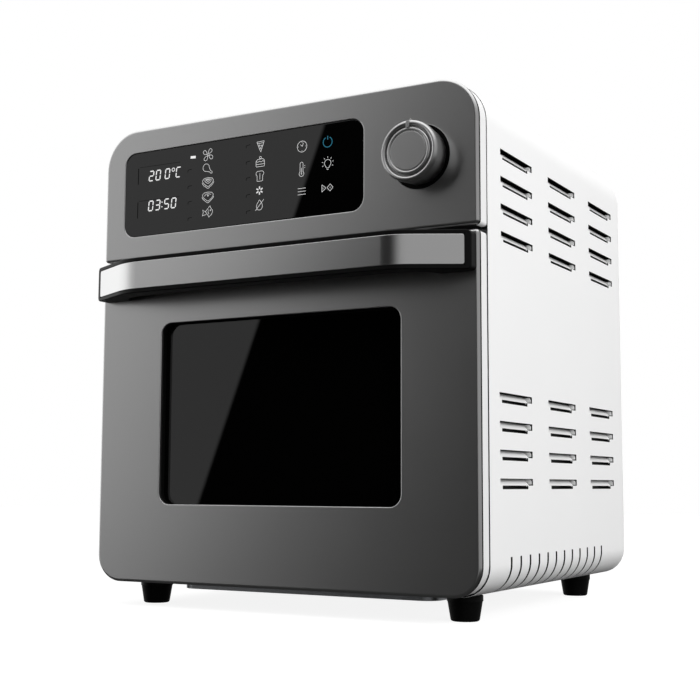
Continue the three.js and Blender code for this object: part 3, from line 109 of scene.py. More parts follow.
class Nodes:
    def __init__(self, tree):
        self.tree = tree

    def add(self, kind, settings=None, inputs=None, output=0):
        node = self.tree.nodes.new(kind)
        for key, value in (settings or {}).items():
            if key == 'stops':
                ramp = node.color_ramp
                for element, (place, colour) in zip(ramp.elements, value):
                    element.position = place
                    element.color = colour
                for place, colour in value[len(ramp.elements):]:
                    ramp.elements.new(place).color = colour
            else:
                setattr(node, key, value)
        for key, value in (inputs or {}).items():
            self.feed(node.inputs[key], value)
        return Signal(self, node.outputs[output])

    def feed(self, socket, value):
        if isinstance(value, Signal):
            self.tree.links.new(value.socket, socket)
        else:
            socket.default_value = value

    def mix(self, factor, first, second):
        return self.add('ShaderNodeMix', {'data_type': 'RGBA'}, {0: factor, 6: first, 7: second}, 2)

    def point(self):  # where a point of the piece lies
        return self.add('ShaderNodeTexCoord', output='Object')

    def noise(self, scale, detail=3.0, stretch=(1, 1, 1)):
        place = self.add('ShaderNodeMapping', {}, {'Vector': self.point(), 'Scale': stretch})
        return self.add('ShaderNodeTexNoise', {}, {'Vector': place, 'Scale': scale, 'Detail': detail})

    def between(self, value, low, high):  # 0 below low, 1 above high, smooth between
        return self.add('ShaderNodeMapRange', {'interpolation_type': 'SMOOTHSTEP'},
                        {'Value': value, 'From Min': low, 'From Max': high})


class Finish(Nodes):
    def __init__(self, name, fixed=None):
        self.material = bpy.data.materials.new(name)
        self.material.use_nodes = True
        super().__init__(self.material.node_tree)
        self.shader = self.tree.nodes['Principled BSDF']
        for key, value in (fixed or {}).items():
            self.shader.inputs[key].default_value = value

    def put(self, **values):
        for key, value in values.items():
            self.feed(self.shader.inputs[key.replace('_', ' ')], value)

    def bump(self, height, reach):  # reach in millimetres
        self.put(Normal=self.add('ShaderNodeBump', {}, {'Distance': reach * mm, 'Height': height}))


# A finish with a slow cloud and a fine grain in its colour, gloss and relief
def grained(name, dark, light, roughness, spread=0.06, grain=900, stretch=(1, 1, 1), relief=0.0,
            cloud=14, metallic=0.0, fixed=None):
    finish = Finish(name, {'Metallic': metallic, **(fixed or {})})
    slow = finish.noise(cloud, 2.0)
    fine = finish.noise(grain, 4.0, stretch)
    finish.put(Base_Color=finish.mix(slow * 0.5 + fine * 0.5, dark, light))
    finish.put(Roughness=fine * spread + slow * spread + (roughness - spread))
    if relief:
        finish.bump(fine, relief)
    return finish


# Zinc plating with its faint crystals
def spangled(name, dark, light, roughness, spread=0.07, crystals=160.0):
    finish = Finish(name, {'Metallic': 0.9})
    crystal = finish.add('ShaderNodeTexVoronoi', {}, {'Vector': finish.point(), 'Scale': crystals}, 'Color')
    value = finish.add('ShaderNodeRGBToBW', {}, {'Color': crystal})
    finish.put(Base_Color=finish.mix(value, dark, light))
    finish.put(Roughness=value * spread + (roughness - spread / 2))
    return finish


# Vitreous enamel with pale specks
def speckled(name, base, dot, roughness, spread=0.1, specks=320.0, speckEdge=(0.16, 0.24)):
    finish = Finish(name, {'Coat Weight': 0.3})
    near = finish.add('ShaderNodeTexVoronoi', {}, {'Vector': finish.point(), 'Scale': specks}, 'Distance')
    finish.put(Base_Color=finish.mix(1 - finish.between(near, *speckEdge), base, dot))
    finish.put(Roughness=finish.noise(30) * spread + (roughness - spread / 2))
    return finish


def scaled(colour, factor):
    return tuple(c * factor for c in colour[:3]) + (1.0,)


def glassy(name, colour, alpha, roughness=0.008, spread=0.006, alphaSpread=0.02, smudgeGlow=1.3):
    finish = Finish(name, {'IOR': 1.5, 'Base Color': colour})
    smudge = finish.noise(22, 4.0)
    finish.put(Roughness=smudge * spread + (roughness - spread / 2))
    finish.put(Base_Color=finish.mix(smudge, colour, scaled(colour, smudgeGlow)))
    finish.put(Alpha=finish.noise(9) * alphaSpread + (alpha - alphaSpread) if alpha < 1 else 1.0)
    return finish


def lit(name, colour, level, dimmest=0.86):
    finish = Finish(name, {'Base Color': shade(20), 'Roughness': 0.5, 'Emission Strength': level})
    finish.put(Emission_Color=finish.mix(finish.noise(240, 2.0), scaled(colour, dimmest), colour))
    return finish


# Stacked iron sheets. A wave texture draws a band for each twentieth of its scale.
def laminated(name, dark, light, roughness, pitch, spread=0.15, relief=0.15):
    finish = Finish(name, {'Metallic': 0.7})
    band = finish.add('ShaderNodeTexWave', {'bands_direction': 'Z'},
                      {'Vector': finish.point(), 'Scale': 1 / (pitch * mm) / 20}, 'Fac')
    finish.put(Base_Color=finish.mix(band, dark, light))
    finish.put(Roughness=band * spread + roughness)
    finish.bump(band, relief)
    return finish


# One finish for each material slot of the record, and six for single pieces
dull = {'Specular IOR Level': 0.08}
finishes = {
    'white_sheet': grained('powder coated sheet', shade(240), shade(244), 0.42, 0.05, 1400, relief=0.01),
    'white_plastic': grained('moulded white', shade(232), shade(237), 0.4, 0.05, 2200, relief=0.008),
    'skin_steel': grained('satin dark steel', shade(182), shade(187), 0.285, 0.02, 900, (1, 1, 14), 0.0006,
                          metallic=1.0),
    'handle_steel': grained('satin bar steel', shade(187), shade(193), 0.24, 0.012, 700, (1, 8, 14), 0.0005,
                            metallic=1.0),
    'bright_steel': grained('bright steel', shade(190), shade(204), 0.28, 0.08, 700, (1, 1, 6), 0.003,
                            metallic=1.0),
    'black_plastic': grained('moulded black', shade(8), shade(12), 0.42, 0.06, 1800, relief=0.01, fixed=dull),
    'silicone': grained('black silicone', shade(6), shade(11), 0.6, 0.06, 1500, relief=0.02, fixed=dull),
    'foot_rubber': grained('foot rubber', shade(7), shade(12), 0.45, 0.08, 1200, relief=0.02, fixed=dull),
    'black_glass': glassy('black glass', shade(4), 1),
    'clear_glass': glassy('pale glass', shade(120, 128, 128), 0.22),
    'plated_sheet': spangled('plated sheet', shade(160, 162, 165), shade(172, 174, 177), 0.42),
    'enamel': speckled('speckled enamel', shade(22, 22, 24), shade(120), 0.25),
    'heater_sheath': grained('heater sheath', shade(58, 52, 48), shade(96, 88, 82), 0.5, 0.2, 300,
                             relief=0.02, metallic=0.8),
    'circuit_board': grained('circuit board', shade(18, 62, 36), shade(34, 92, 52), 0.5, 0.1, 500, (6, 1, 1),
                             0.03),
    'motor_iron': laminated('motor iron', shade(74, 76, 80), shade(110, 112, 116), 0.4, 0.5),
}
knobSteel = grained('satin knob steel', shade(178), shade(184), 0.34, 0.02, 900, relief=0.0005, metallic=1.0)
windowTint = glassy('smoked window glass', shade(3), 0.93)
symbolWhite = lit('lit white symbols', shade(232), 1.0)
digitWhite = lit('lit white digits', shade(250), 1.0)
symbolTeal = lit('lit teal symbol', shade(6, 104, 128), 1.0)
ghostInk = grained('unlit symbols', shade(4), shade(8), 0.8, 0.1, 600, fixed={'Specular IOR Level': 0.0})
print('finishes made')


# Meshes, with all lengths in millimetres

def insetRing(ring, distance):  # moves a closed outline inwards; a negative distance moves it outwards
    area = sum(ring[i - 1][0] * ring[i][1] - ring[i][0] * ring[i - 1][1] for i in range(len(ring)))
    way = 1 if area > 0 else -1
    moved = []
    for i, (u, v) in enumerate(ring):
        before, after = ring[i - 1], ring[(i + 1) % len(ring)]
        au, av = u - before[0], v - before[1]
        bu, bv = after[0] - u, after[1] - v
        la, lb = hypot(au, av), hypot(bu, bv)
        nu, nv = -av / la - bv / lb, au / la + bu / lb
        share = way * distance / (1 + (au * bu + av * bv) / (la * lb))
        moved.append((u + nu * share, v + nv * share))
    return moved


def roundedRing(x0, x1, z0, z1, topRadius, bottomRadius=None, steps=10):
    bottomRadius = topRadius if bottomRadius is None else bottomRadius
    corners = ((x1 - bottomRadius, z0 + bottomRadius, bottomRadius, -90),
               (x1 - topRadius, z1 - topRadius, topRadius, 0),
               (x0 + topRadius, z1 - topRadius, topRadius, 90),
               (x0 + bottomRadius, z0 + bottomRadius, bottomRadius, 180))
    ring = []
    for x, z, radius, start in corners:
        for i in range(steps + 1):
            angle = radians(start + 90 * i / steps)
            ring.append((x + radius * cos(angle), z + radius * sin(angle)))
    return ring


def circle(x, z, radius, steps=48, start=0, end=360):
    whole = end - start == 360
    return [(x + radius * cos(radians(start + (end - start) * i / steps)),
             z + radius * sin(radians(start + (end - start) * i / steps)))
            for i in range(steps if whole else steps + 1)]


def softened(points, reach, closed=False, steps=4):  # rounds the corners of a line
    out = []
    for i, point in enumerate(points):
        if not closed and i in (0, len(points) - 1):
            out.append(point)
            continue
        before, after = points[i - 1], points[(i + 1) % len(points)]
        ends = []
        for other in (before, after):
            span = hypot(other[0] - point[0], other[1] - point[1])
            share = min(reach / span, cornerShare)
            ends.append((point[0] + (other[0] - point[0]) * share, point[1] + (other[1] - point[1]) * share))
        for k in range(steps + 1):
            s = k / steps
            out.append(tuple((1 - s) ** 2 * a + 2 * s * (1 - s) * c + s * s * b
                             for a, c, b in zip(ends[0], point, ends[1])))
    return out


def edgeRows(front, back, frontEdge, backEdge, steps=6):  # rows of a wall with a rounded edge at each end
    turns = quarter(steps)
    rows = [(frontEdge + supportWidth, front)]
    rows += [(frontEdge * (1 - sin(a)), front + frontEdge * (1 - cos(a))) for a in turns]
    rows += [(backEdge * (1 - cos(a)), back - backEdge * (1 - sin(a))) for a in turns]
    return rows + [(backEdge + supportWidth, back)]


def framed(x0, x1, z0, z1, topRadius, bottomRadius, steps=12):  # a rounded outline that takes any inset
    return lambda inset: roundedRing(x0 + inset, x1 - inset, z0 + inset, z1 - inset,
                                     max(topRadius - inset, leastRadius),
                                     max(bottomRadius - inset, leastRadius), steps)


class Shape:
    def __init__(self):
        self.points = []
        self.faces = []

    def ring(self, points):
        start = len(self.points)
        self.points.extend(points)
        return list(range(start, len(self.points)))

    def wall(self, rings, around=True):
        for low, high in zip(rings, rings[1:]):
            for i in range(len(low) if around else len(low) - 1):
                j = (i + 1) % len(low)
                self.faces.append((low[i], low[j], high[j], high[i]))

    def cap(self, loops, axes):  # a flat face inside the first loop and outside the others
        order = [index for loop in loops for index in loop]
        lines = [[Vector([self.points[i][a] for a in axes] + [0]) for i in loop] for loop in loops]
        self.faces.extend(tuple(order[i] for i in corner) for corner in tessellate_polygon(lines))

    # A solid from rows of (inset, distance along the axis), with any holes through it. An outline is a
    # closed line, or a function that gives that line for an inset.
    def solid(self, outline, rows, holes=(), along='Y'):
        spot = (lambda u, v, w: (u, w, v)) if along == 'Y' else (lambda u, v, w: (u, v, w))
        ends = []
        for line, way, steps in [(outline, 1, rows)] + [(hole, -1, holeRows) for hole, holeRows in holes]:
            moved = line if callable(line) else (lambda inset, line=line: insetRing(line, inset))
            rings = [self.ring([spot(u, v, w) for u, v in moved(way * inset)]) for inset, w in steps]
            self.wall(rings)
            ends.append((rings[0], rings[-1]))
        axes = (0, 2) if along == 'Y' else (0, 1)
        self.cap([first for first, last in ends], axes)
        self.cap([last for first, last in ends], axes)

    # A flat plate along Y or Z with rounded edges and any holes through it. An edge that is not given is
    # rounded as the front one.
    def plate(self, ring, front, back, frontEdge, backEdge=None, holes=(), holeEdge=None, along='Y', steps=6):
        backEdge, holeEdge = (frontEdge if edge is None else edge for edge in (backEdge, holeEdge))
        self.solid(ring, edgeRows(front, back, frontEdge, backEdge, steps),
                   [(hole, edgeRows(front, back, holeEdge, backEdge, steps)) for hole in holes], along)

    # A bar along Y with the cross-section given as (x, z)
    def prism(self, section, y0, y1):
        rings = [self.ring([(x, y, z) for x, z in section]) for y in (y0, y1)]
        self.wall(rings)
        self.faces += [tuple(reversed(rings[0])), tuple(rings[1])]

    # A turned form: profile points are (radius, distance along the axis)
    def turned(self, profile, centre, along='Y', sides=64, closed=False):
        rings = []
        for radius, w in profile:
            ring = []
            for i in range(sides):
                u, v = radius * cos(2 * pi * i / sides), radius * sin(2 * pi * i / sides)
                offset = {'X': (w, u, v), 'Y': (u, w, v), 'Z': (u, v, w)}[along]
                ring.append(tuple(c + o for c, o in zip(centre, offset)))
            rings.append(self.ring(ring))
        if closed:
            rings.append(rings[0])
        self.wall(rings)

    # A flat line of the given width on the glass, with its own small thickness
    def stroke(self, line, width, front, back, closed=False):
        rings = []
        for i, (x, z) in enumerate(line):
            before = line[i - 1] if closed or i else line[i]
            after = line[(i + 1) % len(line)] if closed or i < len(line) - 1 else line[i]
            a, b = Vector((x - before[0], z - before[1])), Vector((after[0] - x, after[1] - z))
            a, b = (a if a.length else b).normalized(), (b if b.length else a).normalized()
            side = Vector((-a.y - b.y, a.x + b.x)) * (width / 2 / max(1 + a.dot(b), mitreLimit))
            rings.append(self.ring([(x + side.x, front, z + side.y), (x - side.x, front, z - side.y),
                                    (x - side.x, back, z - side.y), (x + side.x, back, z + side.y)]))
        if closed:
            self.wall(rings + [rings[0]])
        else:
            self.wall(rings)
            self.faces += [tuple(reversed(rings[0])), tuple(rings[-1])]


def settle(name, mesh, body, slot, replaced, sharp, finish, bevel=0.0):
    work = bmesh.new()
    work.from_mesh(mesh)
    bmesh.ops.remove_doubles(work, verts=work.verts, dist=weldDistance)
    bmesh.ops.dissolve_degenerate(work, edges=work.edges, dist=weldDistance)
    if bevel:
        bmesh.ops.dissolve_limit(work, angle_limit=mergeAngle, verts=work.verts, edges=work.edges)
        edges = [edge for edge in work.edges if edge.calc_face_angle(0) > bevelAngle]
        bmesh.ops.bevel(work, geom=edges, offset=bevel * mm, segments=2, profile=0.5, affect='EDGES',
                        clamp_overlap=True)
    bmesh.ops.recalc_face_normals(work, faces=work.faces)
    for face in work.faces:
        face.smooth = True
    for edge in work.edges:
        edge.smooth = edge.calc_face_angle(0) < radians(sharp)
    work.to_mesh(mesh)
    work.free()
    mesh.materials.append((finish or finishes[slot]).material)
    piece = bpy.data.objects.new(name, mesh)
    bpy.context.scene.collection.objects.link(piece)
    piece.modifiers.new('evenShading', 'WEIGHTED_NORMAL').keep_sharp = True
    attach(piece, body)
    if replaced:
        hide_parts(*replaced)
    return piece


def makePiece(name, body, slot, shape, replaced=(), sharp=32, finish=None):
    mesh = bpy.data.meshes.new(name)
    mesh.from_pydata([tuple(c * mm for c in point) for point in shape.points], [], shape.faces)
    return settle(name, mesh, body, slot, replaced, sharp, finish)


# A smoothed copy of a CAD node, with small bevels where its edges show
def refined(node, body, slot, bevel=0.0, sharp=32, finish=None):
    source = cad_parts[node].data
    mesh = bpy.data.meshes.new(node + '_smooth')
    mesh.from_pydata([tuple(v.co) for v in source.vertices], [], [tuple(p.vertices) for p in source.polygons])
    return settle(node + '_smooth', mesh, body, slot, (node,), sharp, finish, bevel)


# Every CAD node takes the finish of its slot, whether it stays in view or not
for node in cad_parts.values():
    for materialSlot in node.material_slots:
        name = materialSlot.material.name.split('.')[0]
        materialSlot.link = 'OBJECT'
        materialSlot.material = finishes[name].material
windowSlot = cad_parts["window_glass"].material_slots[0]
windowSlot.material = windowTint.material
print('CAD nodes dressed:', len(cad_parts))


# Steel skins of the control panel and the door
panelLow, panelHigh = spanOf('control_panel_skin')
doorLow, doorHigh = spanOf('door_skin')
glassLow, glassHigh = spanOf('display_glass')
paneLow, paneHigh = spanOf('window_glass')
knobX, _, knobZ = middleOf('knob_encoder')
panel = dict(topRadius=30, seamRadius=3, bottomRadius=21, cornerSteps=16, thickness=3, rounding=2.1,
             backRounding=1.0, knobHole=22.5, knobHoleSides=72, glassGap=0.3, glassEdge=0.2, displayRadius=10,
             paneMargin=10, windowRadius=9, holeEdge=0.6)


def widened(low, high, margin):  # x and z limits of a box, grown by a margin
    return low[0] - margin, high[0] + margin, low[2] - margin, high[2] + margin


display = widened(glassLow, glassHigh, panel['glassGap'])
window = widened(paneLow, paneHigh, -panel['paneMargin'])
windowHole = roundedRing(*window, panel['windowRadius'])
skins = {
    'control_panel': dict(
        body='body', line='panel_crease_shade',
        outline=framed(*widened(panelLow, panelHigh, 0), panel['topRadius'], panel['seamRadius'],
                       panel['cornerSteps']),
        holes=[roundedRing(*display, panel['displayRadius']),
               circle(knobX, knobZ, panel['knobHole'], panel['knobHoleSides'])]),
    'door': dict(
        body='door', line='door_crease_shade',
        outline=framed(*widened(doorLow, doorHigh, 0), panel['seamRadius'], panel['bottomRadius'],
                       panel['cornerSteps']),
        holes=[windowHole])}
for word, skin in skins.items():
    steel = Shape()
    steel.plate(skin['outline'](0), depth(0), depth(panel['thickness']), panel['rounding'],
                panel['backRounding'], skin['holes'], panel['holeEdge'])
    makePiece(word + '_steel', skin['body'], 'skin_steel', steel, [word + '_skin'])

pane = Shape()
pane.plate(roundedRing(*widened(glassLow, glassHigh, 0), panel['displayRadius'] - panel['glassGap']),
           glassLow[1], glassHigh[1], panel['glassEdge'], steps=3)
makePiece('display_glass_plate', 'body', 'black_glass', pane, ['display_glass'])
gasket = dict(grow=10, outerRadius=6, front=3.3, back=6.7, edge=0.2, lip=0.6)
grown = [limit + way * gasket['grow'] for limit, way in zip(window, (-1, 1, -1, 1))]
ring = Shape()
ring.plate(roundedRing(*grown, gasket['outerRadius']), depth(gasket['front']), depth(gasket['back']),
           gasket['edge'], holes=[windowHole], holeEdge=gasket['lip'], steps=4)
makePiece('window_gasket_ring', 'door', 'silicone', ring, ['window_gasket'])

# Dark strips between the skins and their frames: painted shade in the crease where each skin's edge meets its
# frame
creaseShade = dict(outside=0.02, inside=2.72, front=2.05, back=4.3, edge=0.15)
for skin in skins.values():
    rim = Shape()
    rim.plate(skin['outline'](creaseShade['outside']), depth(creaseShade['front']), depth(creaseShade['back']),
              creaseShade['edge'], holes=[skin['outline'](creaseShade['inside'])], steps=2)
    makePiece(skin['line'], skin['body'], 'silicone', rim)

# White frame behind the panel's skin: a tray that is open to the back
tray = dict(inset=0.4, front=3.3, back=15.3, web=5.7, wall=2.5, frontEdge=0.9, backEdge=0.5, innerEdge=0.3,
            webFillet=0.4, holeEdge=0.2, lip=5, flange=24.3, flangeSides=48)
trayOutline = framed(*widened(panelLow, panelHigh, -tray['inset']), panel['topRadius'] - tray['inset'],
                     panel['seamRadius'] - tray['inset'], panel['cornerSteps'])
rows = edgeRows(depth(tray['front']), depth(tray['back']), tray['frontEdge'], tray['backEdge'])
rows += [(tray['wall'] - tray['innerEdge'], depth(tray['back'])),
         (tray['wall'], depth(tray['back'] - tray['innerEdge'])),
         (tray['wall'], depth(tray['web'] + tray['webFillet'])),
         (tray['wall'] + tray['webFillet'], depth(tray['web']))]
holeWall = edgeRows(depth(tray['front']), depth(tray['web']), tray['holeEdge'], tray['holeEdge'], 2)
displayHole = roundedRing(*(limit + way * tray['lip'] for limit, way in zip(display, (1, -1, 1, -1))),
                          tray['lip'])
frameShape = Shape()
frameShape.solid(trayOutline, rows, [(displayHole, holeWall),
                                     (circle(knobX, knobZ, tray['flange'], tray['flangeSides']), holeWall)])
makePiece('control_panel_frame_moulding', 'body', 'white_plastic', frameShape, ['control_panel_frame'])

# A black strip under the panel's frame, in the seam above the door: painted shade in the seam
seamShade = dict(half=155.5, front=3.4, back=15.2, low=0.06, high=0.4, corner=1, edge=0.08)
seamShadeShape = Shape()
seamShadeShape.plate(roundedRing(-seamShade['half'], seamShade['half'], depth(seamShade['front']), depth(seamShade['back']),
                            seamShade['corner'], steps=3),
                panelLow[2] + seamShade['low'], panelLow[2] + seamShade['high'], seamShade['edge'], along='Z', steps=1)
makePiece('panel_seam_shade', 'body', 'black_plastic', seamShadeShape)
print('skins, glass and frame made')


# Casing: one bent sheet with louvres and slots, and a thin dark layer behind it that is painted shade. The
# white sheet is kept thin, so the walls of the holes show the dark layer and the inside reads black.
casing = dict(front=15.6, back=303.7, half=160, low=17.5, top=367.5, topRadius=30, lowRadius=21, opening=118,
              sheet=0.16, lining=(0.17, 0.8), cornerSteps=14, flank=1, sharp=35)
slots = dict(count=12, first=52.1, pitch=17.45, width=3.3, inner=134, top=43)
louvres = dict(length=60, drop=4.7, height=7.2, pitch=19.45, rows=4, columnPitch=93.2, columns=3,
               groups=((38.5, 324.4), (33.5, 154.3)), topDepth=5.2, footDepth=1.5, lip=0.4, gapFront=4,
               gapBack=9, slit=2.2, endGap=0.9, sheet=0.8, overlap=0.1, wallStart=0.3, wallDepth=5.6,
               wallDrop=0.5, wallFoot=2.2, wallRises=(-0.3, 0.8), curve=1.8, curveDepth=2.1, curveDrop=2.3,
               curveSteps=5)
louvrePlaces = [(front + column * louvres['columnPitch'], top - row * louvres['pitch'])
                for front, top in louvres['groups'] for column in range(louvres['columns'])
                for row in range(louvres['rows'])]
slotPlaces = [slots['first'] + i * slots['pitch'] for i in range(slots['count'])]


def casingProfile(inset):  # from the right lower flange over the top to the left one
    half, low, top = casing['half'] - inset, casing['low'] + inset, casing['top'] - inset
    lowRadius, topRadius = casing['lowRadius'] - inset, casing['topRadius'] - inset
    levels = {slots['top']}
    for front, level in louvrePlaces:
        levels |= {round(level, 3), round(level - louvres['drop'], 3), round(level - louvres['height'], 3)}
    turns = quarter(casing['cornerSteps'])
    line = [(casing['opening'], low), (slots['inner'], low)]
    line += [(half - lowRadius + lowRadius * sin(a), low + lowRadius * (1 - cos(a))) for a in turns]
    line += [(half, level) for level in sorted(levels)]
    line += [(half - topRadius + topRadius * cos(a), top - topRadius + topRadius * sin(a)) for a in turns]
    return line + [(-x, z) for x, z in reversed(line)]


def isOpen(x, z, d):  # whether a louvre or a slot takes the sheet away there
    if z < slots['top']:
        return abs(x) > slots['inner'] and any(abs(d - place) < slots['width'] / 2 for place in slotPlaces)
    if abs(x) < casing['half'] - casing['flank']:
        return False
    for front, top in louvrePlaces:
        if front < d < front + louvres['length'] and top - louvres['drop'] < z < top:
            return True
        if (front + louvres['gapFront'] < d < front + louvres['length'] - louvres['gapBack']
                and top - louvres['height'] < z < top - louvres['drop']):
            return True
    return False


def casingLayer(outside, inside):
    shape = Shape()
    cuts = {casing['front'], casing['back']}
    for front, top in louvrePlaces:
        end = front + louvres['length']
        cuts |= {front, front + louvres['gapFront'], end - louvres['gapBack'], end}
    for place in slotPlaces:
        cuts |= {place - slots['width'] / 2, place + slots['width'] / 2}
    cuts = sorted({round(value, 3) for value in cuts})
    profile = casingProfile(0)
    kept = [[not isOpen((a[0] + b[0]) / 2, (a[1] + b[1]) / 2, (d0 + d1) / 2)
             for d0, d1 in zip(cuts, cuts[1:])] for a, b in zip(profile, profile[1:])]
    grids = [[shape.ring([(x, depth(d), z) for d in cuts]) for x, z in casingProfile(inset)]
             for inset in (outside, inside)]
    outer, inner = grids
    wide, long = len(kept), len(kept[0])
    for i in range(wide):
        for j in range(long):
            if not kept[i][j]:
                continue
            corners = [(i, j), (i + 1, j), (i + 1, j + 1), (i, j + 1)]
            shape.faces.append(tuple(outer[a][b] for a, b in corners))
            shape.faces.append(tuple(inner[a][b] for a, b in reversed(corners)))
            for (a, b), (c, d), (m, n) in zip(corners, corners[1:] + corners[:1],
                                              [(i, j - 1), (i + 1, j), (i, j + 1), (i - 1, j)]):
                if not (0 <= m < wide and 0 <= n < long and kept[m][n]):
                    shape.faces.append((outer[c][d], outer[a][b], inner[a][b], inner[c][d]))
    return shape


sheet = casingLayer(0, casing['sheet'])
for side in (-1, 1):
    for front, top in louvrePlaces:
        foot, end, thin = top - louvres['drop'], front + louvres['length'] - louvres['slit'], louvres['sheet']
        slatTop, baseDepth = top - louvres['lip'], louvres['footDepth'] + louvres['overlap']
        slat = [(louvres['topDepth'], slatTop), (louvres['footDepth'], foot),
                (louvres['footDepth'] + thin, foot), (louvres['topDepth'] + thin, slatTop)]
        base = [(casing['sheet'], foot), (baseDepth, foot), (baseDepth, foot - thin),
                (casing['sheet'], foot - thin)]
        curve = [(louvres['curveDepth'] - louvres['curve'] * cos(a),
                  top - louvres['curveDrop'] + louvres['curve'] * sin(a))
                 for a in quarter(louvres['curveSteps'])]
        curve.append((louvres['wallDepth'], top - louvres['wallDrop']))
        nearWall, farWall = ([(louvres['wallStart'], foot + rise), *curve, (louvres['wallFoot'], foot + rise)]
                             for rise in louvres['wallRises'])
        for section, d0, d1 in ((slat, front, end - thin - louvres['endGap']),
                                (base, front, front + louvres['gapFront']),
                                (base, end - louvres['gapBack'] + louvres['slit'], end),
                                (farWall, end - thin, end), (nearWall, front, front + thin)):
            sheet.prism([(side * (casing['half'] - d), z) for d, z in section], depth(d0), depth(d1))
# The second piece is the dark inner layer: painted shade behind the slots and louvres
for name, slot, shape in (('casing_outside', 'white_sheet', sheet),
                          ('casing_painted_shade', 'black_plastic', casingLayer(*casing['lining']))):
    makePiece(name, 'body', slot, shape, ['casing_shell'], sharp=casing['sharp'])

# Thin dark boards behind the louvres and the corner slots: painted shade, so the inside seen through them
# reads black
shadeScreens = dict(depths=(6.3, 6.6), front=30, back=296, groups=((253, 330), (84, 160)), corner=0.1, edge=0.04,
               slotStart=136.6, slotInset=(1.2, 1.5), slotTop=47, slotFront=44, slotBack=254)
for side, word in ((-1, 'left'), (1, 'right')):
    for (low, high), level in zip(shadeScreens['groups'], ('upper', 'lower')):
        shadeScreen = Shape()
        far, near = (casing['half'] - value for value in reversed(shadeScreens['depths']))
        shadeScreen.plate(roundedRing(*sorted((side * far, side * near)), low, high, shadeScreens['corner'], steps=1),
                     depth(shadeScreens['front']), depth(shadeScreens['back']), shadeScreens['edge'], steps=1)
        makePiece(f'louvre_shade_screen_{level}_{word}', 'body', 'black_plastic', shadeScreen)
    near, far = ([(x, z) for x, z in casingProfile(inset)
                  if x > shadeScreens['slotStart'] and z < shadeScreens['slotTop']] for inset in shadeScreens['slotInset'])
    shadeScreen = Shape()
    shadeScreen.prism([(side * x, z) for x, z in near + far[::-1]], depth(shadeScreens['slotFront']),
                 depth(shadeScreens['slotBack']))
    makePiece(f'slot_shade_screen_{word}', 'body', 'black_plastic', shadeScreen)
print('casing made')


# Knob: a turned form with sunk rings, a bridge across the groove and a fin on its skirt
knob = dict(sides=96, edge=0.22, bridgeHalf=1.3, bridge=(15.4, 20.3), bridgeProud=(18.75, 15.3),
            bridgeEdge=0.3, finHalf=2.6, finBase=19.0, finReach=23.4, finProud=(14.6, 2.6), finCorner=0.5,
            finEdges=(0.4, 0.3), profile=[
                (0, 18), (13.2, 18), (13.4, 17.3), (13.9, 17.3), (14.1, 17.9), (14.7, 18.2), (15.6, 18.1),
                (16.2, 17.6), (16.4, 17), (16.4, 15.6), (17.5, 15.6), (17.6, 17.3), (18.2, 18.1), (19, 18.4),
                (19.9, 18.2), (20.7, 17.4), (21.1, 16.2), (21.2, 14.8), (19.6, -1.2), (17.1, -1.2),
                (17.1, 12.7), (0, 12.7)])
knobLine = softened(knob['profile'], knob['edge'], steps=3)
knobShape = Shape()
knobShape.turned([(radius, depth(-proud)) for radius, proud in knobLine], (knobX, 0, knobZ),
                 sides=knob['sides'])
bridgeLow, bridgeHigh = knob['bridge']
bridge = [(knobX + side * knob['bridgeHalf'], knobZ + level)
          for side, level in ((-1, bridgeLow), (1, bridgeLow), (1, bridgeHigh), (-1, bridgeHigh))]
knobShape.plate(bridge, *(depth(-proud) for proud in knob['bridgeProud']), knob['bridgeEdge'], steps=3)
fin = [(knobX - knob['finHalf'], knobZ + knob['finBase']), (knobX + knob['finHalf'], knobZ + knob['finBase']),
       (knobX, knobZ + knob['finReach'])]
knobShape.plate(softened(fin, knob['finCorner'], True), *(depth(-proud) for proud in knob['finProud']),
                *knob['finEdges'], steps=3)
makePiece('knob_turned', 'knob', 'skin_steel', knobShape, ['control_knob'], finish=knobSteel)


# Handle: a black bar, thin behind the grip, with a steel strip let into its front
barLow, barHigh = spanOf('handle_body')
stripHigh = spanOf('handle_inlay')[1]
handle = dict(gripHalf=102.4, gripShares=(0, 0.33, 0.66), bendRadius=45, bendAngle=radians(27.6),
              bendSteps=16, gap=0.3, edge=0.7, edgeSteps=5, levels=(0.95, 1.25, 1.5, 2.0), endRounding=1.3,
              endDrop=0.7, endSoft=1.4, endCorner=3.2, lipWidth=0.02, leastLip=0.2, fingerDepth=17,
              fingerInset=26, fingerArch=31, fingerSteps=8, inlayMargin=2.9, inlayThickness=1, sunk=1.2,
              stripEdge=0.6, stripSteps=4, stripCorner=1.3, cornerSteps=6,
              longer=0.9, higher=0.9, lower=1.6, stripLonger=0.4)  # by how much it passes its solids
handle.update(half=barHigh[0] + handle['longer'], inlayHalf=stripHigh[0] + handle['stripLonger'],
              gripProud=frontPlane - barLow[1], fingerAtDoor=barHigh[0] - handle['fingerInset'],
              fingerAtGrip=barHigh[0] - handle['fingerInset'] - handle['fingerArch'])


def handleLine(inset, endX):  # half of the bar's front line, from the middle to one end: (x, proud)
    radius = handle['bendRadius'] - inset
    centre = handle['gripProud'] - handle['bendRadius']
    line = [(handle['gripHalf'] * share, centre + radius) for share in handle['gripShares']]
    for i in range(handle['bendSteps'] + 1):
        angle = handle['bendAngle'] * i / handle['bendSteps']
        line.append((handle['gripHalf'] + radius * sin(angle), centre + radius * cos(angle)))
    x, proud = line[-1]
    line.append((endX, proud - (endX - x) * tan(handle['bendAngle'])))
    return line


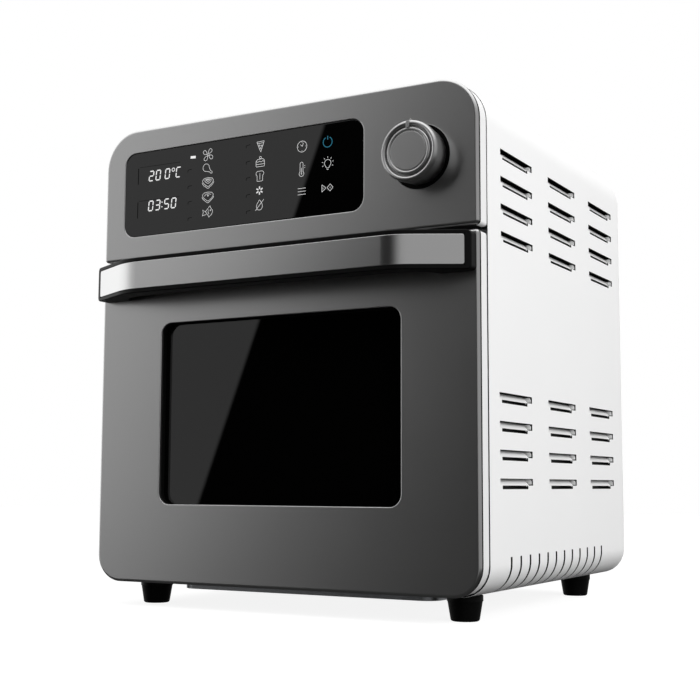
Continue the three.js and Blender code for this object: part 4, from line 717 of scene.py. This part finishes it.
def handlePlan(pocket, cut=0.0):  # cut shortens the bar near its upper and lower face
    half = handle['half'] - cut
    full = handleLine(0, half - handle['endRounding'])
    endX, endProud = full[-1]
    pocketEnd = min(handle['inlayHalf'] + handle['gap'], endX - handle['leastLip'])
    lip = handleLine(0, pocketEnd + handle['lipWidth'])[-1]
    corner = softened([full[-1], (half, endProud - handle['endDrop']), (half, handle['gap'])],
                      handle['endSoft'])
    right = handleLine(pocket, pocketEnd) + [lip, full[-1]] + corner[1:]
    arch, rise = handle['fingerAtDoor'] - handle['fingerAtGrip'], handle['fingerDepth'] - handle['gap']
    inner = [(handle['fingerAtGrip'] + arch * cos(a), handle['gap'] + rise * sin(a))
             for a in quarter(handle['fingerSteps'])]
    outer = [(-x, proud) for x, proud in right[:0:-1]] + right
    inside = inner + [(-x, proud) for x, proud in inner[::-1]]
    return [(x, depth(-proud)) for x, proud in outer + inside]


zLow, zHigh = barLow[2] - handle['lower'], barHigh[2] + handle['higher']
edge, endCorner, pocketLevel = handle['edge'], handle['endCorner'], handle['inlayMargin'] - handle['gap']


def endCut(t):  # how far the bar's end steps back at t from its upper or lower face
    return endCorner - (endCorner ** 2 - (endCorner - t) ** 2) ** 0.5


levels = [(edge * (1 - cos(a)), edge * (1 - sin(a))) for a in quarter(handle['edgeSteps'])]
levels += [(t, 0.0) for t in handle['levels']]
plans = [(insetRing(handlePlan(0.0, endCut(t)), inset), t) for t, inset in levels]
plans += [(handlePlan(pocket, endCut(pocketLevel)), pocketLevel) for pocket in (0.0, handle['sunk'])]
plans.append((handlePlan(handle['sunk']), endCorner))
rows = [(plan, zLow + t) for plan, t in plans] + [(plan, zHigh - t) for plan, t in plans[::-1]]
bar = Shape()
rings = [bar.ring([(x, y, z) for x, y in plan]) for plan, z in rows]
bar.wall(rings)
bar.cap([rings[0]], (0, 1))
bar.cap([rings[-1]], (0, 1))
makePiece('handle_bar', 'door', 'black_plastic', bar, ['handle_body'])

thick, soft, corner = handle['inlayThickness'], handle['stripEdge'], handle['stripCorner']
along = handleLine(0, handle['inlayHalf'])
endX, endProud = along[-1]
endTurns = [corner * (1 - cos(a)) for a in quarter(handle['cornerSteps'])[:0:-1]]
halfStrip = [(x, proud, 0.0) for x, proud in along[:-1]]
halfStrip += [(endX - t * cos(handle['bendAngle']), endProud + t * sin(handle['bendAngle']),
               corner - (corner ** 2 - (corner - t) ** 2) ** 0.5) for t in endTurns]
halfStrip.append((endX, endProud, corner))
stations = [(-x, proud, cut, -1) for x, proud, cut in halfStrip[:0:-1]]
stations += [(x, proud, cut, 1) for x, proud, cut in halfStrip]
turns = quarter(handle['stripSteps'])
strip = Shape()
rings = []
for x, proud, cut, side in stations:
    angle = min(handle['bendAngle'], max(abs(x) - handle['gripHalf'], 0.0) / handle['bendRadius'])
    low, high = zLow + handle['inlayMargin'] + cut, zHigh - handle['inlayMargin'] - cut
    section = [(thick, low), (soft, low)]
    section += [(soft * (1 - sin(a)), low + soft * (1 - cos(a))) for a in turns[1:]]
    section += [(soft * (1 - cos(a)), high - soft * (1 - sin(a))) for a in turns[:-1]]
    section += [(soft, high), (thick, high)]
    rings.append(strip.ring([(x - side * inward * sin(angle), depth(-proud + inward * cos(angle)), z)
                             for inward, z in section]))
strip.wall(rings)
strip.faces += [tuple(reversed(rings[0])), tuple(rings[-1])]
makePiece('handle_strip', 'door', 'handle_steel', strip, ['handle_inlay'])
print('knob and handle made')


# Feet
foot = dict(sides=56, profile=[(4.2, 9.7), (4.2, 0.6), (4.8, 0), (8.8, 0), (9.4, 0.3), (9.8, 0.8), (10, 1.3),
                               (11.95, 13.1), (12, 13.3), (12.3, 13.3), (12.4, 13.4), (12.4, 17.1),
                               (12.3, 17.2), (2.3, 17.2), (2.3, 9.7)])
for node in [f'foot_{place}_{side}' for place in ('front', 'rear') for side in ('left', 'right')]:
    rubber = Shape()
    x, y, _ = middleOf(node)
    rubber.turned(foot['profile'], (x, y, 0), 'Z', foot['sides'], True)
    makePiece(node + '_rubber', 'body', 'foot_rubber', rubber, [node])


# Back: spacers, the cord's gland and the screws
back = dict(face=305.3, spacerX=112, spacerZ=215, glandX=-118, glandZ=48, screwX=146, screwZ=(60, 325),
            spacer=[(0, -4.3), (3, -4.3), (3, 0), (11, 0), (10.9, 2), (8.4, 14), (7.2, 15), (3, 15),
                    (2.4, 14), (0, 14)],
            gland=[(4, -8), (8, -8), (8, 0), (12, 0), (12, 1.6), (10.6, 3.4), (8.6, 5.4), (7.4, 6), (4.6, 6),
                   (4, 5.4)],
            screw=[(0, -8), (1.8, -8), (1.8, 0), (3.6, 0), (3.5, 0.6), (2.6, 1.5), (1.3, 1.8), (1.1, 0.9),
                   (0, 0.8)])


def turnedPiece(name, slot, profile, x, z, node, sides=48, closed=False):
    shape = Shape()
    shape.turned([(r, depth(back['face'] + w)) for r, w in profile], (x, 0, z), sides=sides, closed=closed)
    makePiece(name, 'body', slot, shape, [node])


for side, word in ((-1, 'left'), (1, 'right')):
    turnedPiece(f'wall_spacer_{word}_moulding', 'black_plastic', back['spacer'], side * back['spacerX'],
                back['spacerZ'], f'wall_spacer_{word}')
    for height, level in zip(back['screwZ'], ('low', 'high')):
        turnedPiece(f'back_screw_{level}_{word}_turned', 'bright_steel', back['screw'], side * back['screwX'],
                    height, f'back_screw_{level}_{word}', sides=24)
turnedPiece('cord_gland_moulding', 'black_plastic', back['gland'], back['glandX'], back['glandZ'],
            'cord_gland', closed=True)
print('feet and back made')


# Lit symbols on the display glass, all as strokes: (x, z) in millimetres from each symbol's middle
marks = dict(front=0.34, back=0.39, digitHalfWidth=2.0, digitHalfHeight=3.75, slant=0.1, digitStroke=0.85,
             digitGap=0.1, symbolStroke=0.3, farFrom=-30, farScale=0.9)
segments = {'a': ((-1, 1), (1, 1)), 'b': ((1, 1), (1, 0)), 'c': ((1, 0), (1, -1)), 'd': ((-1, -1), (1, -1)),
            'e': ((-1, 0), (-1, -1)), 'f': ((-1, 1), (-1, 0)), 'g': ((-1, 0), (1, 0))}
glyphs = {'0': 'abcdef', '2': 'abged', '3': 'abgcd', '5': 'afgcd', 'C': 'afed'}
readouts = [('2', -115.3, 329.3), ('0', -108.7, 329.3), ('0', -99.8, 329.3), ('C', -89.3, 329.3),
            ('0', -115.4, 305.7), ('3', -108.7, 305.7), ('5', -100.1, 305.7), ('0', -93.4, 305.7)]
# Lines beside the digits: degree sign, colon and the bar of the lit symbol, each with its stroke
extras = [(circle(-94.2, 331.8, 1.3, 20), 0.5, True), ([(-104.6, 303.5), (-104.5, 304.3)], 0.9, False),
          ([(-104.6, 307.1), (-104.5, 307.9)], 0.9, False), ([(-77.9, 339.3), (-73.2, 339.0)], 1.9, False)]


def ink(shape, line, width, closed=False):
    shape.stroke(line, width, depth(marks['front']), depth(marks['back']), closed)


digits = Shape()
for glyph, x, z in readouts:
    for key in glyphs[glyph]:
        ends = []
        (u0, v0), (u1, v1) = segments[key]
        for share in (marks['digitGap'], 1 - marks['digitGap']):
            u = (u0 + (u1 - u0) * share) * marks['digitHalfWidth']
            v = (v0 + (v1 - v0) * share) * marks['digitHalfHeight']
            ends.append((x + u + v * marks['slant'], z + v))
        ink(digits, ends, marks['digitStroke'])
for line, width, closed in extras:
    ink(digits, line, width, closed)
makePiece('display_digits', 'body', 'black_glass', digits, finish=digitWhite)


def turnedLine(line, angle):
    c, s = cos(radians(angle)), sin(radians(angle))
    return [(x * c - z * s, x * s + z * c) for x, z in line]


steak = [(-5.3, 1.6), (-3.9, 3.5), (0, 4.0), (3.9, 3.4), (5.3, 1.4), (3.6, -0.9), (0.2, -3.2), (-3.4, -0.8)]
rim = [(-5.4, 0.6), (-4.6, -1.2), (0.1, -4.6), (4.5, -1.3), (5.4, 0.4)]
smallSteak = [(x * 0.6, z * 0.5 + 1.0) for x, z in steak]
blade = softened([(0.5, 0.9), (0.4, 3.0), (1.7, 4.6), (3.5, 4.1), (3.7, 2.4), (2.1, 1.2)], 0.8, True)
# Each symbol: middle x, middle z, closed lines, open lines
symbols = [
    (-61.6, 339.3, [turnedLine(blade, a) for a in (0, 90, 180, 270)] + [circle(0, 0, 0.9, 14)], []),
    (-62.0, 328.6, [softened(circle(-1.2, 0.9, 2.9, 18, 0, 270) + [(1.9, -2.6), (3.1, -3.9), (4.3, -3.9),
                                                                 (4.4, -2.7), (2.9, -1.7)], 0.3, True)], []),
    (-61.3, 317.6, [softened(steak, 1.2, True), softened(smallSteak, 0.7, True),
                    [(x * 0.45, z * 0.4 + 1.2) for x, z in smallSteak]], [softened(rim, 1.2)]),
    (-61.2, 306.5, [softened(steak, 1.2, True), circle(0, 1.3, 0.5, 10)],
     [softened(rim, 1.2), softened([(-3.2, 1.0), (-2.0, 2.4), (0.4, 2.7), (2.9, 1.9)], 0.9)]),
    (-60.9, 295.3, [softened([(-2.4, 0.2), (-0.2, 2.4), (1.8, 4.5), (2.4, 3.0), (4.4, 0.6), (3.6, -2.0),
                              (0.8, -4.3), (0.2, -2.8)], 0.5, True), circle(2.3, 0.9, 0.45, 10)],
     [[(-2.4, 0.2), (-4.9, 1.9), (-4.3, -0.3), (-5.1, -2.6), (-1.4, -1.9)],
      [(0.3, 1.6), (0.1, -0.2), (0.9, -1.8)]]),
    (-14.2, 339.3, [softened([(-3.5, 4.2), (3.7, 4.5), (0.4, -4.7)], 0.5, True), circle(-0.8, 1.0, 0.55, 10),
                    circle(1.2, 0.6, 0.55, 10), circle(0.3, -1.4, 0.55, 10)], [[(-3.0, 2.8), (3.1, 3.0)]]),
    (-14.2, 327.8, [softened([(-4.1, -3.9), (4.1, -3.9), (4.1, 1.0), (2.6, 2.5), (-2.8, 2.3), (-4.1, 0.9)],
                             0.9, True), circle(0.1, 3.6, 0.95, 12)],
     [[(-3.9, -1.9), (3.9, -1.9)],
      softened([(-3.9, 0.7), (-2.4, -0.2), (-0.8, 0.8), (0.8, -0.2), (2.4, 0.8), (3.9, 0.1)], 0.6)]),
    (-14.4, 317.1, [softened([(-2.7, -4.2), (2.7, -4.2), (2.7, 0.6), (3.8, 1.4), (3.8, 3.1), (2.5, 4.2),
                              (-2.5, 4.2), (-3.8, 3.1), (-3.8, 1.4), (-2.7, 0.6)], 0.8, True)],
     [[(0, -2.8), (0, 2.4)]]),
    (-14.5, 295.4, [softened([(0, 4.7), (2.7, 0.5), (3.0, -1.8), (1.6, -4.0), (-1.6, -4.0), (-3.0, -1.8),
                              (-2.7, 0.5)], 1.1, True)], [[(-3.9, -4.3), (4.1, 4.4)]]),
    (21.9, 334.6, [circle(0, 0, 4.5, 32)],
     [[(-1.4, 1.7), (0.1, 0.1), (1.3, 2.9)]]
     + [turnedLine([(3.2, 0), (3.8, 0)], a) for a in range(0, 360, 90)]),
    (21.6, 318.0, [circle(0, 4.2, 1.4, 10, 0, 180) + circle(0, -3.9, 2.2, 16, 130, 410),
                   circle(0, -3.9, 0.4, 8)],
     [[(0, 0.8), (0, -3.2)], [(2.5, 2.6), (3.3, 2.6)], [(2.5, 0.9), (3.3, 0.9)]]),
    (21.9, 301.5, [], [[(-3.7, z), (3.7, z)] for z in (2.5, 0, -2.5)]),
    (43.5, 319.0, [softened(circle(0, 0.7, 3.0, 16, -50, 230) + [(-1.1, -3.2), (1.1, -3.2)], 0.4, True)],
     [[(-0.8, -4.4), (0.8, -4.4)]] + [[(a * 4.3, b * 4.3 + 0.7), (a * 5.5, b * 5.5 + 0.7)]
                                      for a, b in circle(0, 0, 1, 6, -25, 205)]),
    (43.3, 301.7, [softened([(-5.0, -2.9), (-5.0, 2.9), (-1.2, 0)], 0.4, True),
                   softened([(-0.2, 0), (2.5, 2.9), (5.2, 0), (2.5, -2.9)], 0.4, True)],
     [[(-4.0, -0.6), (-4.0, 0.6)], [(2.5, -0.5), (2.5, 0.5)]]),
]
petals = dict(x=-14.6, z=306.3, line=[(1.1, 0), (3.1, 0)], angles=range(30, 390, 60), stroke=1.0)
powerSymbol = dict(stroke=0.6, ring=circle(43.4, 335.1, 3.7, 28, 118, 422),
                   stem=[(43.4, 336.9), (43.4, 339.6)])
icons = Shape()
for x, z, loops, lines in symbols:
    scale = 1.0 if x < marks['farFrom'] else marks['farScale']
    for line, closed in [(loop, True) for loop in loops] + [(line, False) for line in lines]:
        ink(icons, [(x + u * scale, z + v * scale) for u, v in line], marks['symbolStroke'], closed)
for angle in petals['angles']:  # the defrost symbol
    ink(icons, [(petals['x'] + u, petals['z'] + v) for u, v in turnedLine(petals['line'], angle)],
        petals['stroke'])
makePiece('display_symbols', 'body', 'black_glass', icons, finish=symbolWhite)
power = Shape()
for key in ('ring', 'stem'):
    ink(power, powerSymbol[key], powerSymbol['stroke'])
makePiece('display_power_symbol', 'body', 'black_glass', power, finish=symbolTeal)

# Unlit marks: hooks beside the symbols, and a long and a short line beside each readout
unlit = dict(hook=[(-1.8, -1.0), (-1.8, 0.5), (-1.2, 1.0), (1.8, 1.3)], hookStroke=0.35,
             long=[(-127.0, 0), (-88, -0.3)], longStroke=0.22,
             short=[(-128.3, -13.4), (-128.2, -0.6)], shortStroke=0.6, readouts=(337.3, 310.5),
             places=[(-78.5, 328.7), (-78.2, 316.0), (-77.9, 303.9), (-77.7, 291.3), (-25.1, 340.7),
                     (-24.9, 328.3), (-24.7, 316.0), (-24.5, 303.2), (-24.3, 291.0)])
ghosts = Shape()
for x, z in unlit['places']:
    ink(ghosts, [(x + u, z + v) for u, v in unlit['hook']], unlit['hookStroke'])
for z in unlit['readouts']:
    for key in ('long', 'short'):
        ink(ghosts, [(x, z + v) for x, v in unlit[key]], unlit[key + 'Stroke'])
makePiece('display_unlit_marks', 'body', 'black_glass', ghosts, finish=ghostInk)
print('display made')


# Smoothed copies of the remaining nodes that show: (node, body, slot, bevel)
for node, body, slot, bevel in [
        ('back_panel', 'body', 'white_sheet', 0.25), ('door_frame', 'door', 'white_plastic', 0.35),
        ('base_plate', 'body', 'plated_sheet', 0.25), ('face_frame', 'body', 'plated_sheet', 0.2),
        ('door_seal', 'body', 'silicone', 0.5), ('door_inner_panel', 'door', 'plated_sheet', 0.3),
        ('cavity_liner', 'body', 'plated_sheet', 0), ('baking_tray', 'body', 'enamel', 0.3),
        ('crumb_tray', 'body', 'plated_sheet', 0.3), ('fan_guard', 'body', 'plated_sheet', 0.3),
        ('rack_guide_left', 'body', 'bright_steel', 0.3), ('rack_guide_right', 'body', 'bright_steel', 0.3),
        ('hinge_bracket_left', 'body', 'plated_sheet', 0.3),
        ('hinge_bracket_right', 'body', 'plated_sheet', 0.3),
        ('knob_encoder', 'body', 'black_plastic', 0.2)]:
    refined(node, body, slot, bevel)
roundSharp = 65  # round rods and blades stay smooth over wider angles
for node, body, slot in [
        ('upper_heater', 'body', 'heater_sheath'), ('lower_heater', 'body', 'heater_sheath'),
        ('lamp_cover', 'body', 'clear_glass'), ('temperature_probe', 'body', 'bright_steel'),
        ('wire_rack', 'body', 'bright_steel'), ('hinge_pin_left', 'door', 'bright_steel'),
        ('hinge_pin_right', 'door', 'bright_steel'), ('convection_fan', 'fan_rotor', 'bright_steel'),
        ('motor_shaft', 'fan_rotor', 'bright_steel'), ('cooling_fan', 'fan_rotor', 'bright_steel')]:
    refined(node, body, slot, sharp=roundSharp)
print('smoothed nodes made')


# Floor, studio surroundings and lamps
stage = dict(floor=6.0, floorGlow=0.72, floorStrength=1.22, floorShade=shade(236), floorBounce=shade(112))
half = stage['floor'] / 2
floorMesh = bpy.data.meshes.new('floor')
floorMesh.from_pydata([(-half, -half, 0), (half, -half, 0), (half, half, 0), (-half, half, 0)], [],
                      [(0, 1, 2, 3)])
floor = bpy.data.objects.new('floor', floorMesh)
bpy.context.scene.collection.objects.link(floor)
floor.visible_glossy = False
pale = Finish('pale floor', {'Roughness': 0.9, 'Specular IOR Level': 0.0})
seen = pale.add('ShaderNodeLightPath', output='Is Camera Ray')
pale.put(Base_Color=pale.mix(seen, stage['floorBounce'], stage['floorShade']))
glow = pale.add('ShaderNodeEmission', {}, {'Color': (1, 1, 1, 1), 'Strength': stage['floorStrength']})
lifted = pale.add('ShaderNodeMixShader', {}, {0: seen * stage['floorGlow'],
                                              1: Signal(pale, pale.shader.outputs[0]), 2: glow})
pale.feed(pale.tree.nodes['Material Output'].inputs['Surface'], lifted)
floorMesh.materials.append(pale.material)

# Surroundings. Camera rays see plain white, diffuse rays an even grey, and glossy rays this studio:
# levels of grey, and where each starts and ends, as shares of a direction along an axis.
studio = dict(ambient=0.55, left=0.69, farLeft=0.9, farLeftSpan=(0.72, 0.97), rise=0.12,
              riseSpan=(0.05, 0.35), right=0.55, rightSpan=(-0.2, 0.1), above=1.4, aboveSpan=(0.45, 0.9),
              below=0.04, horizonSpan=(-0.25, -0.05), dark=0.0, darkLeft=(0.7704, -0.5613, -0.3024),
              darkLeftEdge=0.002, darkRight=(-0.9976, -0.0698, 0.0), darkRightEdge=0.16, brightest=2)
world = bpy.data.worlds.new('studio')
bpy.context.scene.world = world
world.use_nodes = True
sky = Nodes(world.node_tree)
direction = sky.add('ShaderNodeTexCoord', output='Generated')


def facing(normal, low, high):
    share = sky.add('ShaderNodeVectorMath', {'operation': 'DOT_PRODUCT'}, {0: direction, 1: normal}, 'Value')
    return sky.between(share, low, high)


axisRight, axisLeft, axisUp = (1, 0, 0), (-1, 0, 0), (0, 0, 1)
leftEdge, rightEdge = studio['darkLeftEdge'], studio['darkRightEdge']
flag = (facing(studio['darkLeft'], -leftEdge, leftEdge)  # a dark board, which the window mirrors
        * facing(studio['darkRight'], -rightEdge, rightEdge))
sideways = facing(axisRight, *studio['rightSpan'])
leftLevel = facing(axisLeft, *studio['farLeftSpan']) * studio['farLeft'] + studio['left']
leftLevel = leftLevel * (facing(axisUp, *studio['riseSpan']) * studio['rise'] + 1)
glossLevel = leftLevel * (1 - sideways) + sideways * studio['right']
glossLevel = glossLevel * (1 - flag) + flag * studio['dark']
glossLevel = glossLevel + facing(axisUp, *studio['aboveSpan']) * studio['above']
overHorizon = facing(axisUp, *studio['horizonSpan'])
glossLevel = glossLevel * overHorizon + (1 - overHorizon) * studio['below']
cameraRay, glossyRay, throughRay = (sky.add('ShaderNodeLightPath', output=name)
                                    for name in ('Is Camera Ray', 'Is Glossy Ray', 'Is Transmission Ray'))
isGloss = sky.add('ShaderNodeMath', {'operation': 'MAXIMUM'}, {0: glossyRay, 1: throughRay})
level = isGloss * glossLevel + (1 - isGloss) * studio['ambient']
level = cameraRay + (1 - cameraRay) * level
colour = sky.mix(level * (1 / studio['brightest']), (0, 0, 0, 1), (studio['brightest'],) * 3 + (1,))
sky.feed(world.node_tree.nodes['Background'].inputs['Color'], colour)

# Lamps: name, place and size in metres, power in watts. All look at the middle of the oven.
lamps = [('key lamp', (-0.9, -1.1, 1.7), 1.4, 10.0), ('side lamp', (1.9, -0.5, 1.0), 1.3, 31.0),
         ('back lamp', (0.2, 1.7, 1.5), 1.4, 8.0)]
target = Vector((0, 0, 0.18))
for name, place, size, power in lamps:
    data = bpy.data.lights.new(name, 'AREA')
    data.size = size
    data.energy = power
    lamp = bpy.data.objects.new(name, data)
    bpy.context.scene.collection.objects.link(lamp)
    lamp.location = place
    lamp.rotation_euler = (target - Vector(place)).to_track_quat('-Z', 'Y').to_euler()
    lamp.visible_glossy = False

# Camera of the photo: place in millimetres, focal length and frame in pixels
view = dict(place=(487.4, depth(-751.3), 91.5), turn=radians(29.489), tilt=radians(6.148),
            roll=radians(0.194), focal=1250.1, frameWidth=700, sensorWidth=36)
turn, tilt, roll = view['turn'], view['tilt'], view['roll']
forward = Vector((-sin(turn) * cos(tilt), cos(turn) * cos(tilt), sin(tilt)))
levelAxis = Vector((cos(turn), sin(turn), 0))
upright = levelAxis.cross(forward)
right = levelAxis * cos(roll) + upright * sin(roll)
up = upright * cos(roll) - levelAxis * sin(roll)
cameraData = bpy.data.cameras.new('camera')
cameraData.sensor_width = view['sensorWidth']
cameraData.lens = view['sensorWidth'] * view['focal'] / view['frameWidth']
camera = bpy.data.objects.new('camera', cameraData)
bpy.context.scene.collection.objects.link(camera)
camera.matrix_world = (Matrix.Translation(Vector(view['place']) * mm)
                       @ Matrix((right, up, -forward)).transposed().to_4x4())
bpy.context.scene.camera = camera
bpy.context.scene.view_settings.view_transform = 'Standard'
print('stage made')
